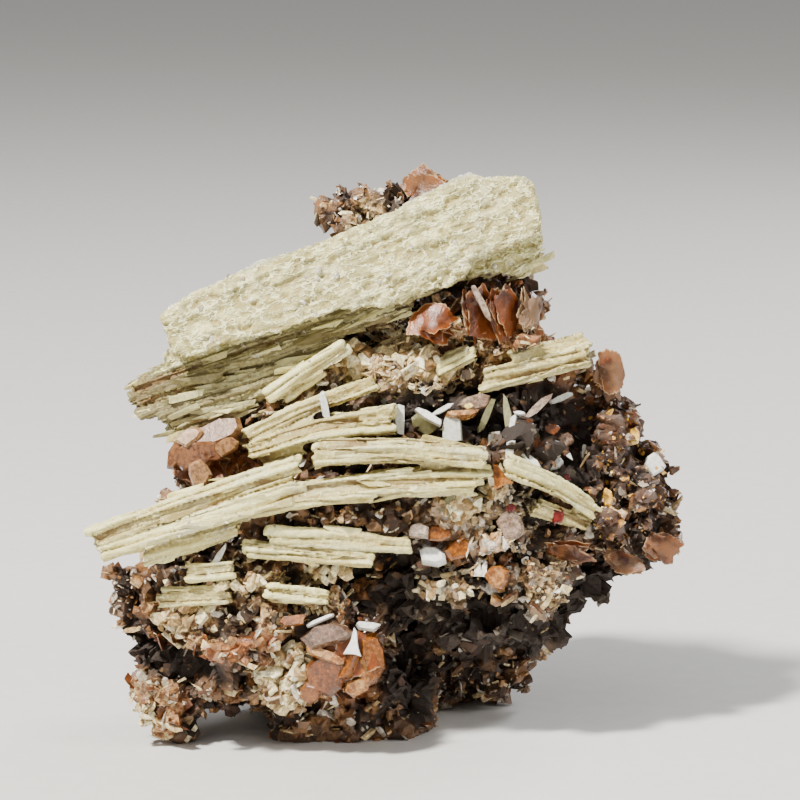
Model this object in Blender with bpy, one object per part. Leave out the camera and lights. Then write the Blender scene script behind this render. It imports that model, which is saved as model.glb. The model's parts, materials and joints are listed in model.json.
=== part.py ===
"""Leifite specimen: cream, striated leifite blades grown on a lump of brown, granular matrix.

World axes: +Z up, +X to the viewer's right, -Y towards the viewer. The origin lies under the middle of the
specimen, on the surface that it rests on. Every length below is in millimetres; MM turns it into metres.
"""

import math
import random

import bmesh
import bpy
from mathutils import Vector, noise

MM = 0.001
GAP = 0.3

MATRIX_VOXEL = 0.4
MATRIX_TRIANGLES = 1900
NOISE_SEED = 7
WARP_SIZE = 3.2
WARP_REACH = 1.3
BLOCK_SIZE = 1.8
BLOCK_TILT = 0.62
BLOCK_STEP = 0.8
GRAIN_COUNT = 48
GRAIN_HEIGHTS = (2.0, 24.0)
GRAIN_SIZES = (0.9, 1.7)
LATH_OVERLAP = 0.18
SLANT = 0.5
DEEP = 20.0
WELD = 0.001

CREAM = (0.78, 0.73, 0.53)
BROWN = (0.24, 0.12, 0.07)
RUST = (0.42, 0.17, 0.06)


def remove_everything():
    """Empties the scene without closing this file."""
    for thing in list(bpy.data.objects):
        bpy.data.objects.remove(thing, do_unlink=True)


def finish_of(name, colour, roughness):
    """A plain non-metallic material."""
    made = bpy.data.materials.new(name)
    made.use_nodes = True
    shader = made.node_tree.nodes["Principled BSDF"]
    shader.inputs["Base Color"].default_value = (*colour, 1.0)
    shader.inputs["Roughness"].default_value = roughness
    shader.inputs["Metallic"].default_value = 0.0
    return made


def object_from(name, shape, finish):
    """Turns a bmesh in millimetres into a linked object in metres."""
    bmesh.ops.recalc_face_normals(shape, faces=shape.faces)
    for vertex in shape.verts:
        vertex.co *= MM
    mesh = bpy.data.meshes.new(name)
    shape.to_mesh(mesh)
    shape.free()
    mesh.materials.append(finish)
    made = bpy.data.objects.new(name, mesh)
    bpy.context.scene.collection.objects.link(made)
    return made


def bake(thing):
    """Replaces an object's mesh with what its modifiers make of it."""
    graph = bpy.context.evaluated_depsgraph_get()
    mesh = bpy.data.meshes.new_from_object(thing.evaluated_get(graph))
    thing.modifiers.clear()
    thing.data = mesh


def weld(thing):
    """Joins corners that a cut has left closer together than the weld distance, and drops slivers."""
    shape = bmesh.new()
    shape.from_mesh(thing.data)
    bmesh.ops.triangulate(shape, faces=shape.faces)
    bmesh.ops.remove_doubles(shape, verts=shape.verts, dist=WELD * MM)
    bmesh.ops.dissolve_degenerate(shape, edges=shape.edges, dist=WELD * MM)
    bmesh.ops.triangulate(shape, faces=shape.faces)
    shape.to_mesh(thing.data)
    shape.free()


def boolean(thing, others, operation):
    """Joins the other solids to this one, or cuts them from it, and removes them."""
    group = bpy.data.collections.new(thing.name + "_operands")
    for other in others:
        group.objects.link(other)
    change = thing.modifiers.new(operation.lower(), "BOOLEAN")
    change.operation = operation
    change.operand_type = "COLLECTION"
    change.collection = group
    bake(thing)
    weld(thing)
    for other in others:
        bpy.data.objects.remove(other, do_unlink=True)
    bpy.data.collections.remove(group)


def keep_largest_body(thing):
    """Drops loose crumbs that a cut has parted from the solid."""
    shape = bmesh.new()
    shape.from_mesh(thing.data)
    unseen = set(shape.verts)
    bodies = []
    while unseen:
        front = [unseen.pop()]
        body = set(front)
        while front:
            vertex = front.pop()
            for edge in vertex.link_edges:
                other = edge.other_vert(vertex)
                if other in unseen:
                    unseen.discard(other)
                    body.add(other)
                    front.append(other)
        bodies.append(body)
    bodies.sort(key=len)
    for body in bodies[:-1]:
        bmesh.ops.delete(shape, geom=list(body), context="VERTS")
    shape.to_mesh(thing.data)
    shape.free()


def along(path, share):
    """A point at a share of a smooth curve through two or three points."""
    if len(path) == 2:
        return path[0].lerp(path[1], share)
    first, middle, last = path
    control = middle * 2 - (first + last) / 2
    return first * (1 - share) ** 2 + control * 2 * share * (1 - share) + last * share**2


def frame_along(path, share, facing):
    """The direction of growth, the direction across the blade and its face normal at a share of the path."""
    step = 0.02
    growth = (along(path, share + step) - along(path, share - step)).normalized()
    across = growth.cross(facing).normalized()
    return growth, across, across.cross(growth).normalized()


def ring_on(shape, path, share, facing, outline, slant=0.0):
    """Adds the outline's points, given as (across, out) pairs, as vertices at a share of the path."""
    centre = along(path, share)
    growth, across, out = frame_along(path, share, facing)
    return [
        shape.verts.new(centre + across * a + out * o + growth * slant * a)
        for a, o in outline
    ]


def close_rings(shape, rings):
    """Walls between neighbouring rings, and a cap on each end."""
    count = len(rings[0])
    for low, high in zip(rings, rings[1:]):
        for i in range(count):
            j = (i + 1) % count
            shape.faces.new((low[i], low[j], high[j], high[i]))
    shape.faces.new(rings[0][::-1])
    shape.faces.new(rings[-1])


def width_at(widths, share):
    return widths[0] + (widths[1] - widths[0]) * share


def lath(values, band, thickness, reach, slants, rise, finish):
    """One lath of a blade: a six-sided bar that fills a band of the blade's width, from reach[0] to reach[1]."""
    shape = bmesh.new()
    rings = []
    path = values["path"]
    ridge = values["ridge"]
    stations = 3 if len(path) == 2 else 5
    for i in range(stations):
        share = reach[0] + (reach[1] - reach[0]) * i / (stations - 1)
        width = width_at(values["widths"], share)
        low = (band[0] - 0.5) * width
        high = (band[1] - 0.5) * width
        half = thickness / 2
        crest = low + (high - low) * 0.4
        outline = [
            (low, -half + ridge * 0.7),
            (crest, -half),
            (high, -half + ridge),
            (high, half - ridge + rise),
            (crest, half + rise),
            (low, half - ridge * 0.7 + rise),
        ]
        slant = slants[0] if i == 0 else slants[1] if i == stations - 1 else 0.0
        rings.append(ring_on(shape, path, share, values["facing"], outline, slant))
    close_rings(shape, rings)
    return object_from("lath", shape, finish)


def laths_of(blade, finish):
    """Every lath of one blade, side by side, with its own start, end, thickness and height."""
    dice = random.Random(blade["seed"])
    count = blade["laths"]
    weights = [dice.uniform(0.7, 1.3) for _ in range(count)]
    total = sum(weights)
    edges = [sum(weights[:i]) / total for i in range(count + 1)]
    length = (blade["path"][-1] - blade["path"][0]).length
    rag_start, rag_end = blade["rag"]
    made = []
    for i in range(count):
        share = LATH_OVERLAP / count
        band = (max(0.0, edges[i] - share), min(1.0, edges[i + 1] + share))
        slants = (dice.uniform(-SLANT, SLANT), dice.uniform(-SLANT, SLANT))
        start = dice.uniform(0, rag_start) + abs(slants[0]) * blade["widths"][0] / 2
        end = dice.uniform(0, rag_end) + abs(slants[1]) * blade["widths"][1] / 2
        reach = (start / length, 1 - end / length)
        thickness = blade["thickness"] * dice.uniform(0.85, 1.0)
        rise = blade["thickness"] * dice.uniform(-0.06, 0.06)
        made.append(lath(blade, band, thickness, reach, slants, rise, finish))
    return made


def prism_of(outline, margin, finish):
    """An outline in x and z, grown by the margin, as a solid that runs right through the specimen."""
    count = len(outline)
    grown = []
    for i in range(count):
        before, here, after = (Vector(outline[(i + k) % count]) for k in (-1, 0, 1))
        one = (here - before).normalized()
        two = (after - here).normalized()
        bisector = Vector((one.y + two.y, -one.x - two.x)).normalized()
        grown.append(here + bisector * margin / max(0.5, bisector.dot(Vector((one.y, -one.x)))))
    shape = bmesh.new()
    rings = [[shape.verts.new((x, y, z)) for x, z in grown] for y in (-DEEP, DEEP)]
    close_rings(shape, rings)
    return object_from("prism", shape, finish)


def blade_shape(name, values, finish):
    """One blade: its laths joined, and broken off along its outline."""
    laths = laths_of(values, finish)
    whole = laths.pop(0)
    whole.name = name
    if laths:
        boolean(whole, laths, "UNION")
    if values["outline"]:
        boolean(whole, [prism_of(values["outline"], 0.0, finish)], "INTERSECT")
    return whole


def envelope_of(blade, margin, finish):
    """A plain eight-sided bar around a blade, standing clear of it by the margin."""
    shape = bmesh.new()
    rings = []
    path = blade["path"]
    over = margin / (path[-1] - path[0]).length
    stations = 2 if len(path) == 2 else 5
    for i in range(stations):
        share = -over + (1 + 2 * over) * i / (stations - 1)
        wide = width_at(blade["widths"], min(1.0, max(0.0, share))) / 2 + margin
        thick = blade["thickness"] * 0.57 + margin
        outline = [
            (-wide, -thick * 0.7),
            (-wide * 0.7, -thick),
            (wide * 0.7, -thick),
            (wide, -thick * 0.7),
            (wide, thick * 0.7),
            (wide * 0.7, thick),
            (-wide * 0.7, thick),
            (-wide, thick * 0.7),
        ]
        rings.append(ring_on(shape, path, share, blade["facing"], outline))
    close_rings(shape, rings)
    bar = object_from("envelope", shape, finish)
    if blade["outline"]:
        boolean(bar, [prism_of(blade["outline"], margin, finish)], "INTERSECT")
    return bar


FRONT = (0.0, -1.0, 0.25)


def blade(path, widths, thickness, laths, rag, seed, facing=FRONT, ridge=0.17, outline=None):
    """The values that describe one leifite blade. An outline of (x, z) points is where it has broken off."""
    return {
        "path": [Vector(point) for point in path],
        "widths": widths,
        "thickness": thickness,
        "laths": laths,
        "rag": rag,
        "seed": seed,
        "facing": Vector(facing).normalized(),
        "ridge": ridge,
        "outline": outline,
    }


SLAB_OUTLINE = [
    (-11.1, 21.2), (-10.4, 19.3), (-9.3, 19.5), (-7.4, 20.2), (-5.6, 20.5), (-4.1, 21.1), (-2.4, 21.7),
    (0.7, 21.9), (3.6, 23.1), (4.2, 23.9), (5.6, 24.5), (7.4, 25.3), (7.4, 25.9), (7.2, 26.8), (7.0, 27.5),
    (6.2, 27.9), (5.2, 27.7), (4.3, 27.8), (3.9, 28.0), (2.2, 27.2), (0.6, 26.3), (-3.2, 24.7), (-4.6, 24.2),
    (-6.3, 23.7), (-7.1, 23.3), (-10.0, 21.9),
]
LEDGE_OUTLINE = [
    (-12.6, 17.7), (-12.7, 16.9), (-12.1, 16.2), (-11.2, 16.3), (-10.7, 15.6), (-9.2, 15.4), (-8.6, 15.9),
    (-7.8, 16.1), (-6.0, 17.4), (-4.3, 18.6), (-2.0, 20.3), (1.0, 21.3), (1.0, 23.0), (-4.3, 21.8), (-10.6, 19.9),
    (-10.9, 18.6),
]
CORNER_OUTLINE = [
    (3.6, 22.9), (5.4, 23.2), (6.6, 23.0), (7.4, 23.8), (7.5, 24.8), (7.3, 25.8), (5.6, 25.4), (3.4, 24.6),
]
SLAB = [
    blade(
        [(-12.6, -4.2, 18.6), (8.8, -2.5, 27.3)], (5.6, 5.6), 1.9, 7, (0.0, 0.0), 3,
        ridge=0.13, outline=SLAB_OUTLINE,
    ),
    blade(
        [(-14.0, -3.0, 16.2), (2.4, -2.3, 21.6)], (5.0, 5.0), 1.6, 7, (0.0, 0.0), 8,
        ridge=0.2, outline=LEDGE_OUTLINE,
    ),
    blade([(1.6, -2.4, 22.4), (8.6, -1.8, 25.3)], (3.0, 3.0), 1.5, 4, (0.0, 0.0), 6, outline=CORNER_OUTLINE),
]
NEEDLES = [
    blade([(-6.0, -4.3, 17.2), (-1.9, -4.2, 19.9)], (0.75, 0.6), 0.7, 2, (0.3, 0.4), 11),
    blade([(-5.4, -4.2, 17.1), (-3.0, -3.9, 18.7)], (0.7, 0.6), 0.6, 2, (0.3, 0.3), 12),
]
MIDDLE_BLADES = [
    blade([(-6.9, -5.0, 15.4), (-4.2, -4.9, 16.7), (-0.3, -4.5, 18.1)], (0.8, 0.9), 0.8, 2, (0.2, 0.3), 21),
    blade([(-7.0, -5.4, 14.7), (-3.3, -5.5, 15.9), (0.5, -5.5, 16.4)], (0.8, 1.6), 1.1, 3, (0.3, 0.1), 22),
    blade([(-6.3, -5.6, 14.2), (-3.9, -5.6, 15.0)], (0.5, 0.5), 0.7, 1, (0.1, 0.1), 23),
]
FRONT_SHEAF = [
    blade([(-14.4, -8.0, 11.0), (-9.1, -7.5, 12.8), (-3.9, -6.9, 14.4)], (1.0, 1.1), 1.1, 3, (0.3, 0.5), 31),
    blade([(-14.3, -8.0, 10.2), (-4.8, -7.2, 12.9), (4.9, -6.5, 13.7)], (1.0, 1.3), 1.2, 3, (0.5, 0.3), 32),
    blade([(-3.9, -7.1, 15.0), (0.6, -7.1, 15.2), (4.9, -6.7, 14.7)], (1.5, 1.2), 1.3, 3, (0.3, 0.4), 33),
    blade([(-12.2, -7.2, 10.0), (-7.0, -6.9, 11.4)], (1.0, 0.8), 1.0, 2, (0.6, 0.5), 34),
]
FAN_BLADES = [
    blade([(5.5, -6.2, 14.3), (8.0, -5.5, 13.1), (10.3, -4.6, 11.4)], (1.3, 0.7), 0.9, 3, (0.1, 0.5), 41),
    blade([(7.0, -5.6, 12.2), (10.1, -4.6, 10.8)], (0.9, 0.7), 0.8, 2, (0.1, 0.4), 42),
]
LOWER_BLADES = [
    blade([(-6.2, -7.0, 11.0), (1.3, -6.7, 10.4)], (0.9, 0.8), 0.8, 2, (0.3, 0.2), 51),
    blade([(-7.2, -7.1, 10.35), (-0.6, -6.9, 9.65)], (0.8, 0.6), 0.8, 2, (0.2, 0.3), 52),
]
RIGHT_BLADE = [
    blade([(4.2, -3.8, 17.9), (10.1, -2.9, 19.2)], (1.2, 1.1), 1.1, 3, (0.5, 0.3), 61),
    blade([(5.7, -3.4, 18.9), (9.9, -2.5, 20.0)], (0.7, 0.8), 0.9, 2, (0.4, 0.3), 62),
]
SMALL_BLADE = [blade([(2.2, -3.9, 18.5), (4.5, -3.5, 19.6)], (1.0, 0.9), 0.8, 2, (0.2, 0.3), 71)]
STUB_HIGH = [blade([(-9.9, -7.1, 9.15), (-7.4, -7.2, 9.4)], (0.8, 0.7), 1.0, 2, (0.2, 0.2), 81)]
STUB_LEFT = [blade([(-11.4, -6.6, 7.8), (-7.4, -7.2, 8.1)], (1.0, 0.8), 1.0, 3, (0.5, 0.4), 82)]
STUB_RIGHT = [blade([(-6.2, -7.4, 8.2), (-2.8, -7.0, 7.8)], (0.9, 0.7), 0.9, 3, (0.4, 0.6), 83)]
BACK_BLADE = [
    blade([(-9.0, 5.0, 11.0), (6.0, 7.6, 15.2)], (1.7, 2.0), 1.3, 3, (1.0, 0.8), 91, (0.1, 1.0, 0.2)),
    blade([(-7.0, 5.5, 10.3), (3.0, 7.0, 13.0)], (1.2, 1.0), 1.0, 2, (0.7, 0.9), 92, (0.1, 1.0, 0.2)),
]
BACK_STUB = [
    blade([(1.0, 7.2, 7.2), (9.6, 5.6, 9.4)], (1.2, 1.0), 1.0, 3, (0.6, 0.8), 93, (0.0, 1.0, 0.0))
]

BLADES = {
    "leifite_slab": SLAB,
    "leifite_needles": NEEDLES,
    "leifite_middle_blades": MIDDLE_BLADES,
    "leifite_front_sheaf": FRONT_SHEAF,
    "leifite_fan_blades": FAN_BLADES,
    "leifite_lower_blades": LOWER_BLADES,
    "leifite_right_blade": RIGHT_BLADE,
    "leifite_small_blade": SMALL_BLADE,
    "leifite_stub_high": STUB_HIGH,
    "leifite_stub_left": STUB_LEFT,
    "leifite_stub_right": STUB_RIGHT,
    "leifite_back_blade": BACK_BLADE,
    "leifite_back_stub": BACK_STUB,
}


def plate(centre, radii, thickness, bend, normal, up, seed):
    """The values that describe one brown plate: its radii run across and along its up direction."""
    return {
        "centre": Vector(centre),
        "radii": radii,
        "thickness": thickness,
        "bend": bend,
        "normal": Vector(normal).normalized(),
        "up": Vector(up),
        "seed": seed,
    }


PLATES = {
    "brown_plate_under_slab": plate((2.2, -4.4, 20.9), (1.5, 1.2), 0.45, 0.7, (0.1, -0.8, 0.7), (0.2, 0, 1), 1),
    "brown_lamella_left": plate((4.3, -4.1, 21.3), (1.3, 1.8), 0.45, 0.35, (0.8, -0.5, 0.2), (-0.3, 0, 1), 2),
    "brown_lamella_middle": plate((5.6, -3.9, 21.3), (1.3, 1.8), 0.4, 0.4, (0.85, -0.5, 0.1), (-0.1, 0, 1), 3),
    "brown_lamella_right": plate((6.9, -3.2, 21.45), (1.2, 1.35), 0.4, 0.4, (0.9, -0.4, 0.2), (-0.1, 0, 1), 4),
    "brown_plate_top": plate((1.7, 0.6, 26.9), (1.6, 1.2), 0.6, 0.3, (-0.3, -0.9, 0.3), (0.5, 0, 1), 5),
    "brown_plate_right_end": plate((10.9, -1.8, 17.9), (0.9, 1.4), 0.6, 0.3, (0.4, -0.9, 0.1), (-0.2, 0, 1), 6),
    "brown_plate_left": plate((-9.2, -4.0, 13.6), (2.2, 1.2), 0.6, 0.5, (-0.3, -0.8, 0.5), (0.4, 0, 1), 7),
    "brown_plate_fan": plate((9.0, -4.9, 9.7), (1.5, 0.8), 0.4, 0.3, (0.0, -0.7, -0.7), (0, 0, 1), 8),
    "brown_plate_low_right": plate((11.7, -3.0, 8.8), (1.3, 0.7), 0.5, 0.2, (0.1, -0.9, 0.3), (0.4, 0, 1), 9),
    "brown_plate_far_right": plate((13.6, -1.6, 9.2), (1.1, 0.9), 0.5, 0.3, (0.4, -0.9, 0.2), (0.3, 0, 1), 10),
    "brown_plate_front": plate((-1.9, -7.6, 5.3), (1.3, 1.7), 0.6, 0.4, (0.3, -0.9, 0.3), (-0.3, 0, 1), 11),
}
PLATE_SIDES = 8


def plate_shape(name, values, margin, finish):
    """A thin plate with a broken outline, bent about its up direction."""
    dice = random.Random(values["seed"])
    normal = values["normal"]
    right = values["up"].cross(normal).normalized()
    up = normal.cross(right).normalized()
    wide, high = values["radii"]
    angles = [math.tau * (i + dice.uniform(-0.25, 0.25)) / PLATE_SIDES for i in range(PLATE_SIDES)]
    reaches = [dice.uniform(0.82, 1.08) for _ in angles]
    shape = bmesh.new()

    def spot(angle, reach, out, spread):
        across = (wide * reach + spread) * math.cos(angle)
        bent = values["bend"] * (across / wide) ** 2
        rise = (high * reach + spread) * math.sin(angle)
        return shape.verts.new(values["centre"] + right * across + up * rise + normal * (out - bent))

    half = values["thickness"] / 2
    sheets = []
    for side in (-1, 1):
        rim = [spot(a, r, side * (half * 0.6 + margin), margin) for a, r in zip(angles, reaches)]
        ring = [spot(a, r * 0.5, side * (half + margin), 0.0) for a, r in zip(angles, reaches)]
        middle = spot(0.0, 0.0, side * (half + margin), 0.0)
        sheets.append(rim)
        for i in range(PLATE_SIDES):
            j = (i + 1) % PLATE_SIDES
            shape.faces.new((rim[i], rim[j], ring[j], ring[i])[::side])
            shape.faces.new((ring[i], ring[j], middle)[::side])
    for i in range(PLATE_SIDES):
        j = (i + 1) % PLATE_SIDES
        shape.faces.new((sheets[0][i], sheets[0][j], sheets[1][j], sheets[1][i]))
    return object_from(name, shape, finish)


LUMPS = [
    ((1.6, 0.8, 12.0), (8.0, 6.4, 8.4)),
    ((1.4, 0.6, 20.2), (5.0, 3.0, 4.6)),
    ((-1.4, 1.5, 24.9), (1.6, 1.5, 1.8)),
    ((1.0, 0.9, 24.3), (2.5, 1.6, 2.2)),
    ((7.8, -0.2, 16.7), (2.5, 2.6, 2.2)),
    ((10.2, 0.2, 13.9), (2.5, 3.2, 2.8)),
    ((12.2, 0.2, 12.3), (1.8, 2.4, 2.1)),
    ((11.8, 0.4, 9.7), (2.1, 2.8, 1.7)),
    ((8.9, 0.8, 7.2), (2.7, 3.4, 2.5)),
    ((5.6, -3.4, 9.6), (3.7, 2.9, 3.6)),
    ((4.9, -1.8, 6.1), (3.6, 3.6, 2.7)),
    ((-6.6, -3.8, 5.6), (5.1, 3.8, 3.9)),
    ((-10.6, -4.6, 1.8), (1.8, 2.0, 2.4)),
    ((-10.9, -2.4, 5.3), (2.1, 2.8, 3.4)),
    ((-2.7, -4.8, 5.7), (2.1, 2.7, 2.7)),
    ((-7.4, -4.1, 9.0), (4.5, 2.9, 1.8)),
    ((-8.1, -1.9, 13.4), (2.9, 2.0, 1.7)),
    ((-3.6, -1.6, 15.4), (4.9, 3.0, 3.0)),
    ((-2.2, -0.6, 1.4), (5.2, 4.8, 2.7)),
    ((2.6, 3.6, 2.7), (5.2, 3.6, 3.4)),
    ((1.8, 3.4, 13.2), (6.4, 4.2, 6.2)),
    ((-6.2, 2.2, 9.6), (4.2, 4.0, 5.0)),
    ((4.3, -2.0, 17.4), (4.4, 2.0, 2.6)),
    ((-1.6, -3.3, 11.9), (6.0, 2.8, 3.0)),
    ((3.8, -3.4, 12.4), (4.4, 2.5, 2.2)),
    ((8.4, -2.0, 12.2), (2.6, 2.6, 2.2)),
    ((-7.0, -1.0, 17.2), (2.6, 1.2, 1.6)),
    ((5.4, -1.9, 20.9), (2.4, 1.3, 1.9)),
]


def block_relief(point):
    """How far the matrix stands out at a point: each block of it is a flat facet with its own tilt and height."""
    centre = noise.voronoi(point / BLOCK_SIZE)[1][0]
    offset = point / BLOCK_SIZE - centre
    tilt = noise.noise_vector(centre * 5.7)
    return BLOCK_STEP * noise.noise(centre * 3.1) + BLOCK_TILT * BLOCK_SIZE * offset.dot(tilt)


def rough_matrix(finish):
    """The lumps merged into one skin, broken into blocks and thinned to flat facets."""
    shape = bmesh.new()
    for centre, radii in LUMPS:
        made = bmesh.ops.create_icosphere(shape, subdivisions=3, radius=1.0)
        for vertex in made["verts"]:
            vertex.co = Vector(centre) + Vector(a * r for a, r in zip(vertex.co, radii))
    matrix = object_from("matrix", shape, finish)
    skin = matrix.modifiers.new("skin", "REMESH")
    skin.mode = "VOXEL"
    skin.voxel_size = MATRIX_VOXEL * MM
    bake(matrix)
    normals = [vertex.normal.copy() for vertex in matrix.data.vertices]
    for vertex, normal in zip(matrix.data.vertices, normals):
        point = vertex.co / MM
        warp = noise.noise_vector(point / WARP_SIZE) * WARP_REACH
        vertex.co = (point + warp + normal * block_relief(point)) * MM
    triangles = sum(len(face.vertices) - 2 for face in matrix.data.polygons)
    thin = matrix.modifiers.new("thin", "DECIMATE")
    thin.ratio = MATRIX_TRIANGLES / triangles
    bake(matrix)
    matrix.data.materials.clear()
    matrix.data.materials.append(finish)
    return matrix


TABLETS = [
    ((3.1, -4.9, 16.1), (1.0, 1.3, 0.25), (0.1, -1.0, 0.2), (0.1, 0.0, 1.0)),
    ((1.7, -4.9, 16.7), (1.4, 0.7, 0.25), (0.2, -0.8, 0.6), (0.4, 0.0, 1.0)),
    ((5.1, -4.6, 16.0), (0.5, 2.2, 0.25), (0.7, -0.7, 0.0), (0.1, 0.0, 1.0)),
    ((6.4, -4.4, 16.4), (0.5, 1.9, 0.2), (0.3, -0.6, 0.8), (1.0, 0.2, 0.6)),
    ((5.9, -4.9, 14.9), (1.5, 1.5, 0.3), (0.5, -0.8, 0.3), (-0.5, 0.0, 1.0)),
    ((7.3, -4.7, 14.2), (0.6, 2.0, 0.3), (0.3, -0.8, 0.5), (-1.0, 0.0, 0.7)),
    ((4.2, -4.4, 17.2), (1.6, 0.5, 0.3), (0.0, -0.4, 1.0), (0.0, -1.0, 0.0)),
    ((9.0, -3.6, 16.6), (1.3, 0.9, 0.6), (0.2, -0.9, 0.4), (0.1, 0.0, 1.0)),
    ((-1.6, -7.2, 7.0), (0.9, 1.3, 0.25), (0.4, -0.9, 0.3), (0.3, 0.0, 1.0)),
    ((-0.9, -6.7, 7.6), (1.5, 0.5, 0.25), (0.0, -0.6, 0.8), (0.0, -1.0, 0.0)),
    ((-3.8, -8.0, 7.0), (1.8, 0.6, 0.3), (0.0, -0.7, 0.7), (0.2, -1.0, 0.4)),
    ((1.6, -6.4, 9.9), (1.4, 0.9, 0.6), (0.0, -0.9, 0.4), (-0.3, 0.0, 1.0)),
    ((12.9, -2.2, 14.2), (0.9, 1.1, 0.5), (0.6, -0.8, 0.2), (-0.6, 0.0, 1.0)),
    ((-4.6, -6.6, 3.6), (1.6, 1.4, 0.7), (0.1, -0.9, 0.4), (0.2, 0.0, 1.0)),
    ((-7.0, -7.4, 5.6), (1.7, 0.9, 0.6), (-0.2, -0.8, 0.6), (0.5, 0.0, 1.0)),
    ((1.1, -3.6, 18.0), (1.1, 1.3, 0.4), (-0.2, -0.8, 0.6), (0.6, 0.0, 1.0)),
    ((2.6, -3.4, 17.3), (1.2, 0.8, 0.5), (0.3, -0.9, 0.3), (0.1, 0.0, 1.0)),
]


def block(sides, skew):
    """A cube stretched to its sides and leaned over, as a bmesh about the origin."""
    shape = bmesh.new()
    bmesh.ops.create_cube(shape, size=1.0)
    for vertex in shape.verts:
        vertex.co = Vector((vertex.co.x, vertex.co.y + skew * vertex.co.x, vertex.co.z))
        vertex.co = Vector(a * b for a, b in zip(vertex.co, sides))
    return shape


def tablet(centre, sides, normal, up, finish):
    """A thin crystal placed by hand, fused to the matrix: its sides run across, up and through it."""
    out = Vector(normal).normalized()
    right = Vector(up).cross(out).normalized()
    rise = out.cross(right)
    shape = block(sides, 0.15)
    for vertex in shape.verts:
        across, high, through = vertex.co
        vertex.co = Vector(centre) + right * across + rise * high + out * through
    return object_from("tablet", shape, finish)


def grain(centre, size, normal, dice, finish):
    """A small crystal half sunk in the matrix: a skewed block or a thin tablet."""
    thin = dice.random() < 0.45
    sides = (size * 1.25, size * 0.85, size * (0.3 if thin else 0.8))
    turn = Vector((dice.gauss(0, 1), dice.gauss(0, 1), dice.gauss(0, 1))).normalized()
    first = (normal + turn * 0.6).normalized()
    second = first.cross(turn).normalized()
    third = first.cross(second)
    shape = block(sides, 0.25)
    for vertex in shape.verts:
        one, two, three = vertex.co
        vertex.co = centre + first * one + second * two + third * three
    return object_from("grain", shape, finish)


def grains_on(matrix, finish):
    """Small crystals spread over the matrix, by area, and none on its underside or on its knob."""
    dice = random.Random(17)
    low, high = (height * MM for height in GRAIN_HEIGHTS)
    faces = [f for f in matrix.data.polygons if f.normal.z > -0.5 and low < f.center.z < high]
    chosen = dice.choices(faces, weights=[f.area for f in faces], k=GRAIN_COUNT)
    return [
        grain(face.center / MM + face.normal * 0.1, dice.uniform(*GRAIN_SIZES), face.normal.copy(), dice, finish)
        for face in chosen
    ]


def block_under(height, finish):
    """A block that takes away everything below a height."""
    shape = bmesh.new()
    bmesh.ops.create_cube(shape, size=2 * DEEP)
    for vertex in shape.verts:
        vertex.co.z += height - DEEP
    return object_from("under", shape, finish)


def make_specimen():
    remove_everything()
    noise.seed_set(NOISE_SEED)
    cream = finish_of("leifite_cream", CREAM, 0.55)
    brown = finish_of("matrix_brown", BROWN, 0.5)
    rust = finish_of("plate_rust", RUST, 0.35)
    matrix = rough_matrix(brown)
    small = grains_on(matrix, brown) + [tablet(*values, brown) for values in TABLETS]
    boolean(matrix, small, "UNION")
    beds = [envelope_of(part, GAP, brown) for parts in BLADES.values() for part in parts]
    beds += [plate_shape("bed", values, GAP, brown) for values in PLATES.values()]
    beds.append(block_under(0.0, brown))
    boolean(matrix, beds, "DIFFERENCE")
    keep_largest_body(matrix)
    for name, parts in BLADES.items():
        blades = [blade_shape(name, part, cream) for part in parts]
        first = blades.pop(0)
        if blades:
            boolean(first, blades, "UNION")
    for name, values in PLATES.items():
        plate_shape(name, values, 0.0, rust)


make_specimen()
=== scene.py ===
# %% [markdown]
# # A leifite specimen
# Leifite grows as long, striated, cream-coloured blades. This specimen is a lump of brown, granular rock with
# such blades lying on it, and with thin rust-brown plates and many small crystals between them.
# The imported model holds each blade, each plate and the rock as flat-faced solids. They are right in place and
# size, so each one is copied, made finer and carved here with the relief that the real surface has.

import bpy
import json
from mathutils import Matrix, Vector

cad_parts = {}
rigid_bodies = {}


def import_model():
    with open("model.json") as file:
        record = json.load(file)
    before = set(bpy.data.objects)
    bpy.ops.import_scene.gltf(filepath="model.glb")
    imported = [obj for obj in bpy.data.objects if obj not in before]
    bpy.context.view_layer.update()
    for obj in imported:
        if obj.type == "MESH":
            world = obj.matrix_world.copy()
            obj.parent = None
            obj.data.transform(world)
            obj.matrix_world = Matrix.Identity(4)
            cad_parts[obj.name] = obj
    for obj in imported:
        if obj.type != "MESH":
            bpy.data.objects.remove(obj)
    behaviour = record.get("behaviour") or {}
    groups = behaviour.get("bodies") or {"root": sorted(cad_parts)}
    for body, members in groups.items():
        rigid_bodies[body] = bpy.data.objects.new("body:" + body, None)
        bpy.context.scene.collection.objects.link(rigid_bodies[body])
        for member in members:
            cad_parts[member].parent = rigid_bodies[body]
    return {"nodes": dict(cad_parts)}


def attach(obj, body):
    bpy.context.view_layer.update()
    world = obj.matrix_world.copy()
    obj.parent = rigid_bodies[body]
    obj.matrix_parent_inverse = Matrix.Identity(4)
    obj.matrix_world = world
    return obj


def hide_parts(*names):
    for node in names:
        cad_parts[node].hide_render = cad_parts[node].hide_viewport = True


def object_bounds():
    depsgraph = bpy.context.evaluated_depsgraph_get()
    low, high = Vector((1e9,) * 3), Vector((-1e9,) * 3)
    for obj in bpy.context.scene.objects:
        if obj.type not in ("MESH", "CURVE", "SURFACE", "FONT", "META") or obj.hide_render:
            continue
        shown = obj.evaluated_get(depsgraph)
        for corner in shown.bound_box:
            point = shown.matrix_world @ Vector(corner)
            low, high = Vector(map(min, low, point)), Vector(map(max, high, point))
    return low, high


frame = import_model()
cad_low, cad_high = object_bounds()
print("solids:", len(frame["nodes"]))

# %% Modules and the unit
import json
import math
import random

import bmesh
import bpy
import numpy as np
from mathutils import Vector
from mathutils.bvhtree import BVHTree

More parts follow.
